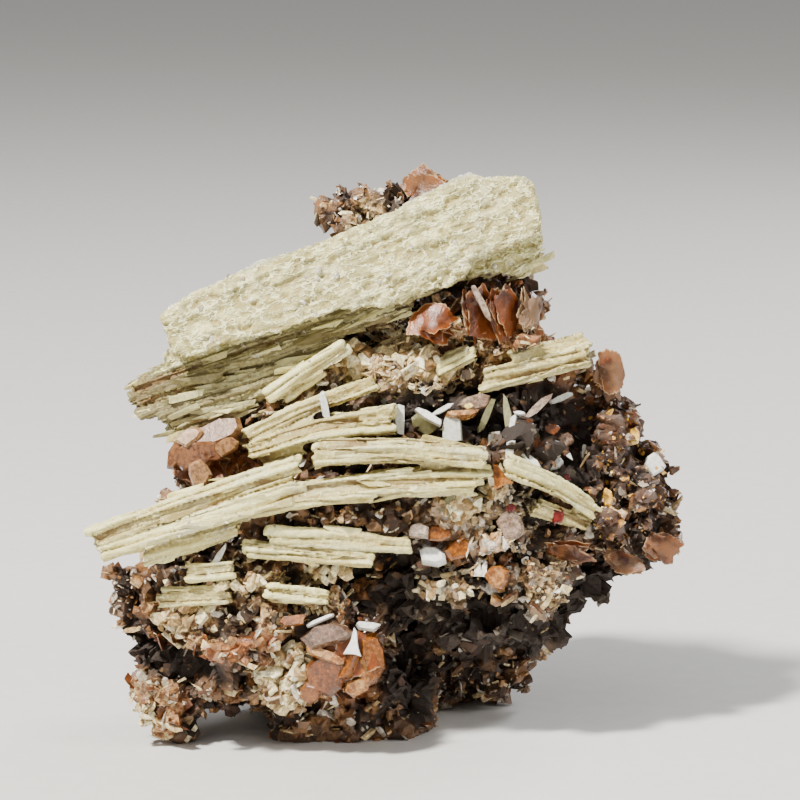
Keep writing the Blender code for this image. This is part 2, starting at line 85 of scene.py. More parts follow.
MM = 0.001
root = bpy.context.scene.collection
print("box in mm:", [round((high - low) / MM, 1) for low, high in zip(cad_low, cad_high)])

# %% [markdown]
# ## Camera, floor and light
# The specimen is seen from a little above and straight from the front. A long lens from 170 mm away keeps
# the blades from spreading towards the camera, as in a close photograph. The floor is one pale disc. The
# key light is small, because small lights give crystals their glints. Two wide lights and a weak, very soft
# sun keep the shadows open.

# %% Camera
CAMERA_AWAY = 170 * MM
CAMERA_RISE = math.radians(10)
VIEW_WIDTH = 40 * MM
aim = Vector((0.55, 0, 16.4)) * MM


def look_from(thing, place, target):
    """Puts a camera or a light at a place and turns it to a target."""
    thing.location = place
    thing.rotation_euler = (target - place).to_track_quat("-Z", "Y").to_euler()


camera_data = bpy.data.cameras.new("camera")
camera_data.lens = camera_data.sensor_width * CAMERA_AWAY / VIEW_WIDTH
camera_data.clip_start = 10 * MM
camera = bpy.data.objects.new("camera", camera_data)
root.objects.link(camera)
back = Vector((0, -math.cos(CAMERA_RISE), math.sin(CAMERA_RISE)))
look_from(camera, aim + back * CAMERA_AWAY, aim)
bpy.context.scene.camera = camera
print("lens:", round(camera_data.lens), "mm")

# %% Lights
LIGHTS = {
    "key": ("AREA", (-125, -115, 240), {"size": 30 * MM, "energy": 2.4, "color": (1.0, 0.96, 0.89)}),
    "side": ("AREA", (230, -110, 130), {"size": 80 * MM, "energy": 0.34, "color": (1.0, 0.97, 0.92)}),
    "rim": ("AREA", (150, 150, 170), {"size": 90 * MM, "energy": 0.45, "color": (0.93, 0.96, 1.0)}),
    "sky": ("SUN", (-60, -120, 220), {"angle": math.radians(60), "energy": 0.8}),
}
AIR_LIGHT = 0.2
for name, (kind, place, settings) in LIGHTS.items():
    light = bpy.data.lights.new(name, kind)
    for setting, value in settings.items():
        setattr(light, setting, value)
    lamp = bpy.data.objects.new(name, light)
    root.objects.link(lamp)
    look_from(lamp, Vector(place) * MM, aim)
world = bpy.data.worlds.new("studio")
bpy.context.scene.world = world
world.use_nodes = True
world.node_tree.nodes["Background"].inputs["Color"].default_value = (1.0, 0.98, 0.95, 1.0)
world.node_tree.nodes["Background"].inputs["Strength"].default_value = AIR_LIGHT
print("lights:", len(LIGHTS))

# %% [markdown]
# ## One helper for every node tree
# A material and a geometry tree are both made of nodes, and sums of many Math nodes are hard to read. So a
# small class wraps a node's output: adding, subtracting, multiplying or dividing it in Python adds the Math
# node. Every other node comes from one method that takes its type, its settings and its sockets, with short
# names for the ones that are used most.

# %% Socket sums


class Output:
    """A node's output, which adds Math nodes when it is used in a Python sum."""

    def __init__(self, graph, socket):
        self.graph = graph
        self.socket = socket

    def other(self, name):
        """Another output of the same node."""
        return Output(self.graph, self.socket.node.outputs[name])

    def __add__(self, value):
        return self.graph.math("ADD", self, value)

    def __sub__(self, value):
        return self.graph.math("SUBTRACT", self, value)

    def __rsub__(self, value):
        return self.graph.math("SUBTRACT", value, self)

    def __mul__(self, value):
        return self.graph.math("MULTIPLY", self, value)

    def __truediv__(self, value):
        return self.graph.math("DIVIDE", self, value)

    def __rtruediv__(self, value):
        return self.graph.math("DIVIDE", value, self)

    __radd__ = __add__
    __rmul__ = __mul__


class Graph:
    """Adds nodes to one tree, which may be a material's or a geometry tree."""

    def __init__(self, tree):
        self.tree = tree

    def add(self, kind, settings=None, sockets=None, out=0):
        """One node: its type, its settings, then the values or links of its sockets. Gives one output."""
        node = self.tree.nodes.new(kind)
        for name, value in (settings or {}).items():
            if name == "stops":
                self.set_stops(node.color_ramp, value)
            else:
                setattr(node, name, value)
        for name, value in (sockets or {}).items():
            if isinstance(value, Output):
                self.tree.links.new(value.socket, node.inputs[name])
            else:
                node.inputs[name].default_value = value
        return Output(self, node.outputs[out]) if node.outputs else node

    def set_stops(self, ramp, stops):
        """A ramp's stops: each is a place and the three values of a colour."""
        while len(ramp.elements) < len(stops):
            ramp.elements.new(1.0)
        for element, (place, *colour) in zip(ramp.elements, stops):
            element.position = place
            element.color = (*colour, 1.0)

    def math(self, operation, *values):
        return self.add("ShaderNodeMath", {"operation": operation}, dict(enumerate(values)))

    def vector(self, operation, *values):
        out = "Value" if operation == "DOT_PRODUCT" else "Vector"
        return self.add("ShaderNodeVectorMath", {"operation": operation}, dict(enumerate(values)), out)

    def grown(self, place, factor):
        """A vector multiplied by a number."""
        sockets = {0: place, "Scale": factor}
        return self.add("ShaderNodeVectorMath", {"operation": "SCALE"}, sockets, "Vector")

    def triple(self, x, y, z):
        return self.add("ShaderNodeCombineXYZ", {}, {"X": x, "Y": y, "Z": z})

    def part(self, place, letter):
        return self.add("ShaderNodeSeparateXYZ", {}, {0: place}, letter)

    def between(self, value, low, high):
        """0 below low, 1 above high, with a smooth step between them."""
        sockets = {"Value": value, "From Min": low, "From Max": high}
        return self.add("ShaderNodeMapRange", {"interpolation_type": "SMOOTHSTEP"}, sockets)

    def mix(self, share, one, two):
        """Two colours mixed: a share of 0 gives the first and 1 the second."""
        one, two = ((*c, 1.0) if isinstance(c, tuple) else c for c in (one, two))
        return self.add("ShaderNodeMix", {"data_type": "RGBA"}, {0: share, 6: one, 7: two}, 2)

    def layered(self, colour, layers):
        """Lays colours over a first one, from pairs of a share and a colour."""
        for share, shade in layers:
            colour = self.mix(share, colour, shade)
        return colour

    def kept(self, name, out="Fac"):
        """A corner's kept number, or its vector, in a material."""
        return self.add("ShaderNodeAttribute", {"attribute_name": name}, {}, out)

    def noise(self, place, scale=1.0, detail=2.0, roughness=0.5):
        sockets = {"Vector": place, "Scale": scale, "Detail": detail, "Roughness": roughness}
        return self.add("ShaderNodeTexNoise", {}, sockets, "Fac")

    def cells(self, place, feature="F1", out="Distance"):
        return self.add("ShaderNodeTexVoronoi", {"feature": feature}, {"Vector": place, "Scale": 1.0}, out)


print("node helper ready")

# %% [markdown]
# ## The floor
# One pale matt disc, wide enough to fill the view, with a faint grain so that it is not a flat colour.

# %% Floor


def new_material(name):
    """An empty material: its graph and its Principled shader."""
    material = bpy.data.materials.new(name)
    material.use_nodes = True
    return material, Graph(material.node_tree), material.node_tree.nodes["Principled BSDF"]


def feed(graph, shader, **values):
    """Sets or links the shader's sockets: an underscore in a name stands for a space."""
    for name, value in values.items():
        socket = shader.inputs[name.replace("_", " ")]
        if isinstance(value, Output):
            graph.tree.links.new(value.socket, socket)
        else:
            socket.default_value = (*value, 1.0) if isinstance(value, tuple) and len(value) == 3 else value


def linked(thing, home=root):
    """Puts a new object into the scene, or into another collection."""
    home.objects.link(thing)
    return thing


def made(shape, name, material=None, home=root):
    """A new object from a bmesh, which is freed."""
    mesh = bpy.data.meshes.new(name)
    shape.to_mesh(mesh)
    shape.free()
    if material:
        mesh.materials.append(material)
    return linked(bpy.data.objects.new(name, mesh), home)


floor_paper, graph, shader = new_material("floor_paper")
place = graph.add("ShaderNodeTexCoord", {}, {}, "Object")
grain = graph.noise(place, 900.0, 3.0)
feed(graph, shader, Base_Color=graph.mix(grain, (0.62, 0.61, 0.59), (0.70, 0.69, 0.67)), Roughness=0.7)
disc = bmesh.new()
bmesh.ops.create_circle(disc, cap_ends=True, segments=96, radius=3.0)
floor = made(disc, "floor", floor_paper)
print("floor:", len(floor.data.vertices), "corners")

# %% [markdown]
# ## From a flat-faced solid to a fine mesh
# A solid's mesh comes in loose triangles, so its copy is merged first. A voxel remesh then gives it small
# even faces that a relief can move. The voxel is a little under the finest ridge that shows, about 0.1 mm.

# %% Fine copies


def baked(thing):
    """Turns what an object's modifiers make into its plain mesh."""
    graph = bpy.context.evaluated_depsgraph_get()
    mesh = bpy.data.meshes.new_from_object(thing.evaluated_get(graph))
    thing.modifiers.clear()
    thing.data = mesh
    return thing


def fine_copy(node, name, voxel):
    """A merged and remeshed copy of a solid."""
    shape = bmesh.new()
    shape.from_mesh(frame["nodes"][node].data)
    bmesh.ops.remove_doubles(shape, verts=shape.verts, dist=0.0001 * MM)
    thing = made(shape, name)
    thing.data.materials.clear()
    remesh = thing.modifiers.new("remesh", "REMESH")
    remesh.mode = "VOXEL"
    remesh.voxel_size = voxel * MM
    return baked(thing)


def corners(mesh):
    """The places of a mesh's corners as one array."""
    places = np.empty(len(mesh.vertices) * 3, np.float32)
    mesh.vertices.foreach_get("co", places)
    return places.reshape(-1, 3)


def write(mesh, name, values):
    """Keeps one number or one vector at each corner of a mesh."""
    kind, field = ("FLOAT", "value") if values.ndim == 1 else ("FLOAT_VECTOR", "vector")
    layer = mesh.attributes.new(name, kind, "POINT")
    layer.data.foreach_set(field, values.astype(np.float32).ravel())


def triangles(mesh):
    return sum(len(face.vertices) - 2 for face in mesh.polygons)


print("mesh helpers ready")

# %% [markdown]
# ## Geometry trees
# Each tree is made once, with named inputs, and is run with its own numbers for each piece. A tree is run
# on a mesh, its result is kept as a plain mesh and the modifier goes, so nothing is left to evaluate later.

# %% Making and running a geometry tree


def geometry_tree(name, inputs):
    """A new tree: its graph, its inputs as outputs to link from, and a call that ends it."""
    tree = bpy.data.node_groups.new(name, "GeometryNodeTree")
    for label, kind in {"Geometry": "Geometry", **inputs}.items():
        tree.interface.new_socket(label, in_out="INPUT", socket_type="NodeSocket" + kind)
    tree.interface.new_socket("Geometry", in_out="OUTPUT", socket_type="NodeSocketGeometry")
    graph = Graph(tree)
    given = tree.nodes.new("NodeGroupInput")
    sockets = {socket.name: Output(graph, socket) for socket in given.outputs if socket.name}

    def end(geometry):
        shown = graph.add("GeometryNodeRealizeInstances", {}, {"Geometry": geometry})
        shown = graph.add("GeometryNodeSetMaterial", {}, {"Geometry": shown, "Material": sockets["Material"]})
        graph.add("NodeGroupOutput", {}, {0: shown})
        return tree

    return graph, sockets, end


def run(tree, thing, inputs):
    """Runs a tree on an object with these inputs, and keeps the result as its mesh."""
    change = thing.modifiers.new(tree.name, "NODES")
    change.node_group = tree
    for item in tree.interface.items_tree:
        if item.in_out == "INPUT" and item.name in inputs:
            change[item.identifier] = inputs[item.name]
    return baked(thing)


print("tree helpers ready")

# %% [markdown]
# ## Growth lines
# A leifite blade is a bundle of thin laths that all run along it, so its relief follows its length. Each
# place on a blade therefore needs to know how far along, across and out of its blade it lies. The paths
# below are the middle lines of the blades in millimetres. They are worked out once for each corner and kept
# as an attribute, which both the carving and the colours read.

# %% The blades' middle lines
FRONT = (0, -1, 0.25)
GROWTH = {
    "leifite_slab": [[(-12.6, -4.2, 18.6), (8.8, -2.5, 27.3)], [(-14, -3, 16.2), (2.4, -2.3, 21.6)]],
    "leifite_needles": [[(-6, -4.3, 17.2), (-1.9, -4.2, 19.9)], [(-5.4, -4.2, 17.1), (-3, -3.9, 18.7)]],
    "leifite_middle_blades": [
        [(-6.9, -5, 15.4), (-4.2, -4.9, 16.7), (-0.3, -4.5, 18.1)],
        [(-7, -5.4, 14.7), (-3.3, -5.5, 15.9), (0.5, -5.5, 16.4)],
        [(-6.3, -5.6, 14.2), (-3.9, -5.6, 15)],
    ],
    "leifite_front_sheaf": [
        [(-14.4, -8, 11), (-9.1, -7.5, 12.8), (-3.9, -6.9, 14.4)],
        [(-14.3, -8, 10.2), (-4.8, -7.2, 12.9), (4.9, -6.5, 13.7)],
        [(-3.9, -7.1, 15), (0.6, -7.1, 15.2), (4.9, -6.7, 14.7)],
        [(-12.2, -7.2, 10), (-7, -6.9, 11.4)],
    ],
    "leifite_fan_blades": [
        [(5.5, -6.2, 14.3), (8, -5.5, 13.1), (10.3, -4.6, 11.4)],
        [(7, -5.6, 12.2), (10.1, -4.6, 10.8)],
    ],
    "leifite_lower_blades": [[(-6.2, -7, 11), (1.3, -6.7, 10.4)], [(-7.2, -7.1, 10.35), (-0.6, -6.9, 9.65)]],
    "leifite_right_blade": [[(4.2, -3.8, 17.9), (10.1, -2.9, 19.2)], [(5.7, -3.4, 18.9), (9.9, -2.5, 20)]],
    "leifite_small_blade": [[(2.2, -3.9, 18.5), (4.5, -3.5, 19.6)]],
    "leifite_stub_high": [[(-9.9, -7.1, 9.15), (-7.4, -7.2, 9.4)]],
    "leifite_stub_left": [[(-11.4, -6.6, 7.8), (-7.4, -7.2, 8.1)]],
    "leifite_stub_right": [[(-6.2, -7.4, 8.2), (-2.8, -7, 7.8)]],
    "leifite_back_blade": [[(-9, 5, 11), (6, 7.6, 15.2)], [(-7, 5.5, 10.3), (3, 7, 13)]],
    "leifite_back_stub": [[(1, 7.2, 7.2), (9.6, 5.6, 9.4)]],
}
FACING = {"leifite_back_blade": (0.1, 1, 0.2), "leifite_back_stub": (0, 1, 0)}
BLADE_SHIFT = 40.0


def growth_lines(places, paths, facing):
    """How far along, across and out of the nearest blade each place in millimetres lies, and its heading."""
    lines = np.zeros_like(places)
    headings = np.zeros_like(places)
    nearest = np.full(len(places), np.inf)
    for number, path in enumerate(paths):
        begun = number * BLADE_SHIFT
        for start, end in zip(np.array(path), np.array(path[1:])):
            length = np.linalg.norm(end - start)
            along = (end - start) / length
            out = np.array(facing) - np.dot(facing, along) * along
            out /= np.linalg.norm(out)
            reach = (places - start) @ along
            middle = start + np.clip(reach, 0, length)[:, None] * along
            gap = np.linalg.norm(places - middle, axis=1)
            side = (places - start) @ np.cross(out, along)
            line = np.stack([begun + reach, side, (places - start) @ out], axis=1)
            closer = gap < nearest
            lines[closer] = line[closer]
            headings[closer] = along
            nearest[closer] = gap[closer]
            begun += length
    return lines, headings


print("blades:", sum(len(paths) for paths in GROWTH.values()))

# %% [markdown]
# ## The relief of a leifite blade
# Long cells make the laths: a cell pattern is stretched along the blade, each cell gets its own height, and
# the cells' borders become grooves. Fine streaks run over the laths. A noise cut into steps makes broken
# layers, flat on top and sharp at their rims, and a thin ridge follows each rim. The same tree carves the
# smooth slab and the splintery sheaf, with other numbers.

# %% The carving tree
# Each input has its number for the smooth slab and its number for a splintery blade.
RELIEF = {
    "Lath Width": (1.0, 0.46), "Lath Length": (6.0, 12.0), "Lath Step": (0.05, 0.27),
    "Groove Depth": (0.01, 0.14), "Streak Depth": (0.02, 0.06), "Crust Depth": (0.15, 0.04),
    "Crust Size": (0.50, 0.42), "Ridge Height": (0.05, 0.0), "Shade": (6.0, 5.5),
}
inputs = {"Material": "Material", **dict.fromkeys(RELIEF, "Float"), "Seed": "Float"}
graph, given, end = geometry_tree("striated crystal", inputs)


def kept_here(graph, name, kind="FLOAT"):
    """Reads a number or a vector kept at each corner."""
    return graph.add("GeometryNodeInputNamedAttribute", {"data_type": kind}, {"Name": name}, "Attribute")


def keep_number(graph, geometry, name, value):
    """Keeps a number at each corner."""
    sockets = {"Geometry": geometry, "Name": name, "Value": value}
    return graph.add("GeometryNodeStoreNamedAttribute", {"data_type": "FLOAT"}, sockets)


def raised(graph, geometry, height):
    """Moves each corner along its normal by a height in millimetres."""
    move = graph.grown(graph.add("GeometryNodeInputNormal"), height * MM)
    return graph.add("GeometryNodeSetPosition", {}, {"Geometry": geometry, "Offset": move})


line = kept_here(graph, "line", "FLOAT_VECTOR")
along, across, out = (graph.part(line, letter) for letter in "XYZ")
sway = graph.noise(graph.triple(along * 0.2, across * 0.5, given["Seed"]), 1.0, 1.0) - 0.5
across = across + sway * 0.4
ledge = kept_here(graph, "weathered")
width = given["Lath Width"] * (1 - ledge * 0.55)
laths = graph.triple(along / given["Lath Length"], across / width, out / width * 0.5 + given["Seed"])
rank = graph.part(graph.cells(laths, out="Color"), "X")
edge = graph.cells(laths, feature="DISTANCE_TO_EDGE")
streak = graph.noise(graph.triple(along * 0.22, across * 4.5, out * 4.5), 1.0, 3.0, 0.6)
streak = graph.between(streak, 0.40, 0.60)
crust = graph.grown(graph.triple(along * 0.6, across, out + given["Seed"]), 1 / given["Crust Size"])
crust = graph.noise(crust, 1.0, 4.0, 0.6)
layers = graph.between(crust, 0.40, 0.45) + graph.between(crust, 0.50, 0.54)
layers = layers + graph.between(crust, 0.59, 0.62)
ridge = 1 - graph.between(graph.math("ABSOLUTE", crust - 0.52), 0.0, 0.05)
rise = (rank - 0.5) * (given["Lath Step"] + ledge * 0.35)
rise = rise - (1 - graph.between(edge, 0.0, 0.13)) * (given["Groove Depth"] + ledge * 0.10)
rise = rise + (streak - 0.5) * (given["Streak Depth"] + ledge * 0.08)
rise = rise + (layers / 3 - 0.5 + crust - 0.5) * given["Crust Depth"] + ridge * given["Ridge Height"]
shown = keep_number(graph, given["Geometry"], "rise", rise * given["Shade"])
striated_crystal = end(raised(graph, shown, rise))
print("nodes in the carving tree:", len(striated_crystal.nodes))

# %% [markdown]
# ## Leifite's finish
# Fresh leifite is silky and cream to white. Here light and shade from its own relief are painted into it:
# raised parts are painted lighter as painted highlight, grooves olive-brown and the deepest ones dark brown
# as painted shade, and near-white specks are painted glints. Cloudy places are greyish, the slab's crust is
# a pale net over a darker ground, the ledge in the slab's shade is painted darker as painted shade, and rust
# has run over it near the rock. All of that is mixed from the attributes that the carving kept, and from noise
# stretched along the growth lines.

# %% Cream crystal


def object_mm(graph):
    """The place on the object in millimetres."""
    return graph.grown(graph.add("ShaderNodeTexCoord", {}, {}, "Object"), 1 / MM)


def bumped(graph, height, distance):
    """A normal tipped by a height, whose full step is a distance in millimetres."""
    return graph.add("ShaderNodeBump", {}, {"Strength": 1.0, "Distance": distance * MM, "Height": height})


leifite_cream, graph, shader = new_material("leifite_cream")
place = object_mm(graph)
line = graph.kept("line", "Vector")
along, across, out = (graph.part(line, letter) for letter in "XYZ")
threads = graph.noise(graph.triple(along * 0.4, across * 11.0, out * 11.0), 1.0, 4.0, 0.6)
bands = graph.noise(graph.triple(along * 0.22, across * 2.4, out * 2.4), 1.0, 2.0, 0.5)
cloud = graph.noise(place, 0.55, 4.0, 0.6)
speck = graph.noise(place, 5.5, 4.0, 0.7)
rise = graph.kept("rise")
mottled = graph.kept("mottled")
worms = graph.noise(graph.triple(along * 1.1, across * 1.8, out * 1.8), 1.0, 3.0, 0.55)
worms = 1 - graph.between(graph.math("ABSOLUTE", worms - 0.5), 0.01, 0.055)
blotches = graph.noise(graph.triple(along * 0.9, across * 1.5, out * 1.5 + 9.0), 1.0, 3.0, 0.6)
ground = graph.between(graph.noise(place, 1.1, 3.0), 0.42, 0.60)
# Painted shade: the ledge under the slab, and splinters lying on it, are darkened, broken up by noise.
ledge_shade = graph.between(threads * 0.45 + bands * 0.35 + speck * 0.2, 0.55, 0.46) * 0.35 + 0.62
ledge_shade = ledge_shade * graph.kept("weathered") * graph.between(graph.kept("tint"), 0.85, 0.60)
rust = graph.kept("stain") * graph.between(graph.noise(place, 1.3, 3.0), 0.35, 0.65)
colour = graph.mix(graph.between(threads, 0.3, 0.7), (0.68, 0.57, 0.20), (0.95, 0.87, 0.37))
colour = graph.layered(colour, [
    (graph.between(bands, 0.52, 0.60) * 0.7, (0.94, 0.90, 0.52)),
    (graph.between(bands, 0.45, 0.37) * 0.6, (0.76, 0.56, 0.18)),
    (mottled * 0.9, graph.mix(ground, (0.38, 0.33, 0.12), (0.66, 0.57, 0.23))),
    (graph.between(cloud, 0.53, 0.66) * 0.65, (0.60, 0.58, 0.42)),
    # Painted highlight and painted shade from the relief: raised parts lighter, grooves olive-brown.
    (graph.between(rise, 0.08, 0.6) * 0.8, (1.0, 0.95, 0.46)),
    (graph.between(rise, -0.05, -0.45) * 0.6, (0.42, 0.32, 0.10)),
    # Painted glints: near-white specks stand in for sparkle.
    (graph.between(speck, 0.54, 0.66) * (0.8 - mottled * 0.3), (1.0, 0.98, 0.58)),
    (graph.between(speck, 0.48, 0.34) * 0.4, (0.42, 0.31, 0.10)),
    (worms * mottled * 0.85, (1.0, 0.98, 0.56)),
    (graph.kept("bevel") * graph.between(cloud, 0.35, 0.5), (0.58, 0.60, 0.55)),
    # Painted shade on the ledge under the slab.
    (ledge_shade, (0.15, 0.115, 0.040)),
    (graph.between(blotches, 0.52, 0.42) * (1 - worms) * mottled * 0.6, (0.36, 0.32, 0.13)),
    # Painted shade: the deepest grooves are painted dark brown.
    (graph.between(rise, -0.5, -1.3) * 0.8, (0.22, 0.12, 0.035)),
    (rust * 0.45, (0.34, 0.18, 0.07)),
])
feed(graph, shader, Base_Color=colour, Roughness=0.24 + speck * 0.3, IOR=1.52)
feed(graph, shader, Normal=bumped(graph, threads * 0.9 + speck * 1.3 + worms * mottled * 0.9, 0.07))
print("leifite_cream:", len(leifite_cream.node_tree.nodes), "nodes")

# %% [markdown]
# ## Carving the blades
# Each piece stands for the solid of the same name. The slab is a broad smooth crystal with a crusty face,
# and the rest are narrow, so their laths are finer and their grooves deeper. The slab's ledge is splintery:
# it gets such laths too, and, since it lies in the slab's shade, darker colours as painted shade. The rust
# stain is strongest where a blade comes out of the rock, so each corner also keeps how near the rock is.

# %% Carved leifite pieces
FINE = 0.085
STAIN_REACH = 0.75
SLAB_SPLIT = 32.0
SLAB_LOWER = -1.9
SLAB_UPPER = 2.25
SLAB_FADE = 0.3
RAGGED_FADE = 0.6
END_ROOM = 0.55
LEAST_MOTTLED = 0.2
CRYSTALS = {}


def surface_of(names):
    """One searchable surface from several solids."""
    places, faces = [], []
    for name in names:
        mesh = frame["nodes"][name].data
        first = len(places)
        places += [vertex.co for vertex in mesh.vertices]
        faces += [[first + corner for corner in face.vertices] for face in mesh.polygons]
    return BVHTree.FromPolygons(places, faces)


def distances(mesh, surface):
    """How far in millimetres each corner is from a surface."""
    return np.array([surface.find_nearest(Vector(place))[3] for place in corners(mesh).tolist()]) / MM


def end_distances(lines, paths):
    """How far in millimetres each corner is from the nearer end of its blade."""
    lengths = np.array([sum(math.dist(*pair) for pair in zip(path, path[1:])) for path in paths])
    number = np.round((lines[:, 0] - lengths.mean() / 2) / BLADE_SHIFT)
    number = np.clip(number, 0, len(paths) - 1).astype(int)
    reach = lines[:, 0] - number * BLADE_SHIFT
    return np.clip(np.minimum(reach, lengths[number] - reach), 0.02, 9.0)


def ragged_share(mesh, lines, headings, node):
    """How splintered each corner is: the slab at its lower edge and its ledge, other blades all over."""
    if node != "leifite_slab":
        return np.ones(len(lines))
    normals = np.empty(len(mesh.vertices) * 3, np.float32)
    mesh.vertices.foreach_get("normal", normals)
    sides = np.abs((normals.reshape(-1, 3) * headings).sum(axis=1)) < 0.5
    lower = np.clip((SLAB_LOWER - lines[:, 1]) / RAGGED_FADE, 0, 1)
    return np.where(lines[:, 0] > SLAB_SPLIT, 1.0, lower) * sides


def placed(thing, slot, *nodes):
    """A finished piece: it rides with the specimen and may stand for solids. Its slot is not used."""
    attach(thing, "root")
    if nodes:
        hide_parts(*nodes)
    print(thing.name, triangles(thing.data))


rock_surface = surface_of(["matrix"])
for number, (node, paths) in enumerate(GROWTH.items()):
    crystal = fine_copy(node, node.replace("leifite", "carved"), FINE)
    places = corners(crystal.data) / MM
    lines, headings = growth_lines(places, paths, FACING.get(node, FRONT))
    is_slab = float(node == "leifite_slab")
    on_ledge = lines[:, 0] > SLAB_SPLIT
    kept = {
        "line": lines,
        "heading": headings,
        # The ledge lies in the slab's shade: it is carved splintery and painted darker as painted shade.
        "weathered": on_ledge * is_slab,
        "mottled": LEAST_MOTTLED + (1 - LEAST_MOTTLED) * (1 - on_ledge) * is_slab,
        "bevel": np.clip((lines[:, 1] - SLAB_UPPER) / SLAB_FADE, 0, 1) * is_slab,
        "ragged": ragged_share(crystal.data, lines, headings, node),
        "near": end_distances(lines, paths) * END_ROOM,
        "dark": np.zeros(len(places)),
        "stain": np.clip(1 - distances(crystal.data, rock_surface) / STAIN_REACH, 0, 1),
    }
    for name, values in kept.items():
        write(crystal.data, name, values)
    look = {label: pair[0 if is_slab else 1] for label, pair in RELIEF.items()}
    run(striated_crystal, crystal, {"Material": leifite_cream, "Seed": float(number * 7), **look})
    crystal.data.shade_smooth()
    placed(crystal, "leifite_cream", node)
    CRYSTALS[node] = crystal

# %% [markdown]
# ## The rock
# The rock is a mass of grown-together grains, so its surface is made of small flat facets that lean every
# way. Three sizes of cells make them: inside a cell the surface is a plane with its own tilt and height. Near
# the blades and at the sides of the box the relief is held back, so that the rock does not swallow the
# blades or outgrow its solid, and at the foot it fades out.

# %% The rock tree
ROCK = {"Block Size": 1.3, "Block Tilt": 1.1, "Grain Size": 0.55, "Grain Tilt": 1.2, "Roughness": 0.12}
inputs = {"Material": "Material", **dict.fromkeys(ROCK, "Float"), "Seed": "Float"}
graph, given, end = geometry_tree("blocky rock", inputs)
MASS_TO_BLOCK = 2.2
MASS_SHARE = 0.6
SUNK = 0.1
MASS_STEP, BLOCK_STEP, GRAIN_STEP = 0.9, 0.35, 0.22
BLADE_ROOM = 0.12
SHADE_ZONE_DEPTH = 0.45


def facets(graph, place, size, tilt, step):
    """Flat facets, one in each cell: a height in millimetres, and a random number for each cell."""
    scaled = graph.grown(place, 1 / size)
    colour = graph.cells(scaled, out="Color")
    centre = graph.cells(scaled, out="Position")
    lean = graph.vector("SUBTRACT", colour, (0.5, 0.5, 0.5))
    offset = graph.vector("SUBTRACT", scaled, centre)
    rank = graph.part(colour, "Y")
    slope = graph.vector("DOT_PRODUCT", offset, lean) * (tilt * size)
    return slope + (rank - 0.5) * step, rank


place = graph.grown(graph.add("GeometryNodeInputPosition"), 1 / MM)
place = graph.vector("ADD", place, graph.triple(given["Seed"], 0.0, 0.0))
masses, _ = facets(graph, place, given["Block Size"] * MASS_TO_BLOCK, given["Block Tilt"], MASS_STEP)
blocks, _ = facets(graph, place, given["Block Size"], given["Block Tilt"], BLOCK_STEP)
grains, grain_rank = facets(graph, place, given["Grain Size"], given["Grain Tilt"], GRAIN_STEP)
fine = (graph.noise(place, 3.2, 3.0, 0.6) - 0.5) * given["Roughness"]
free = graph.math("MINIMUM", kept_here(graph, "near") - BLADE_ROOM, kept_here(graph, "room"))
# In the shade zones, which the finish paints nearly black as painted shade, the rock is also sunk a little.
hollow = kept_here(graph, "dark") * SHADE_ZONE_DEPTH
rise = graph.math("MINIMUM", masses * MASS_SHARE + blocks + grains + fine - hollow - SUNK, free)
height = graph.part(place, "Z")
rise = rise * graph.between(height, 0.1, 1.0)
shown = keep_number(graph, given["Geometry"], "rise", rise)
shown = keep_number(graph, shown, "tint", grain_rank)
blocky_rock = end(raised(graph, shown, rise))
print("nodes in the rock tree:", len(blocky_rock.nodes))
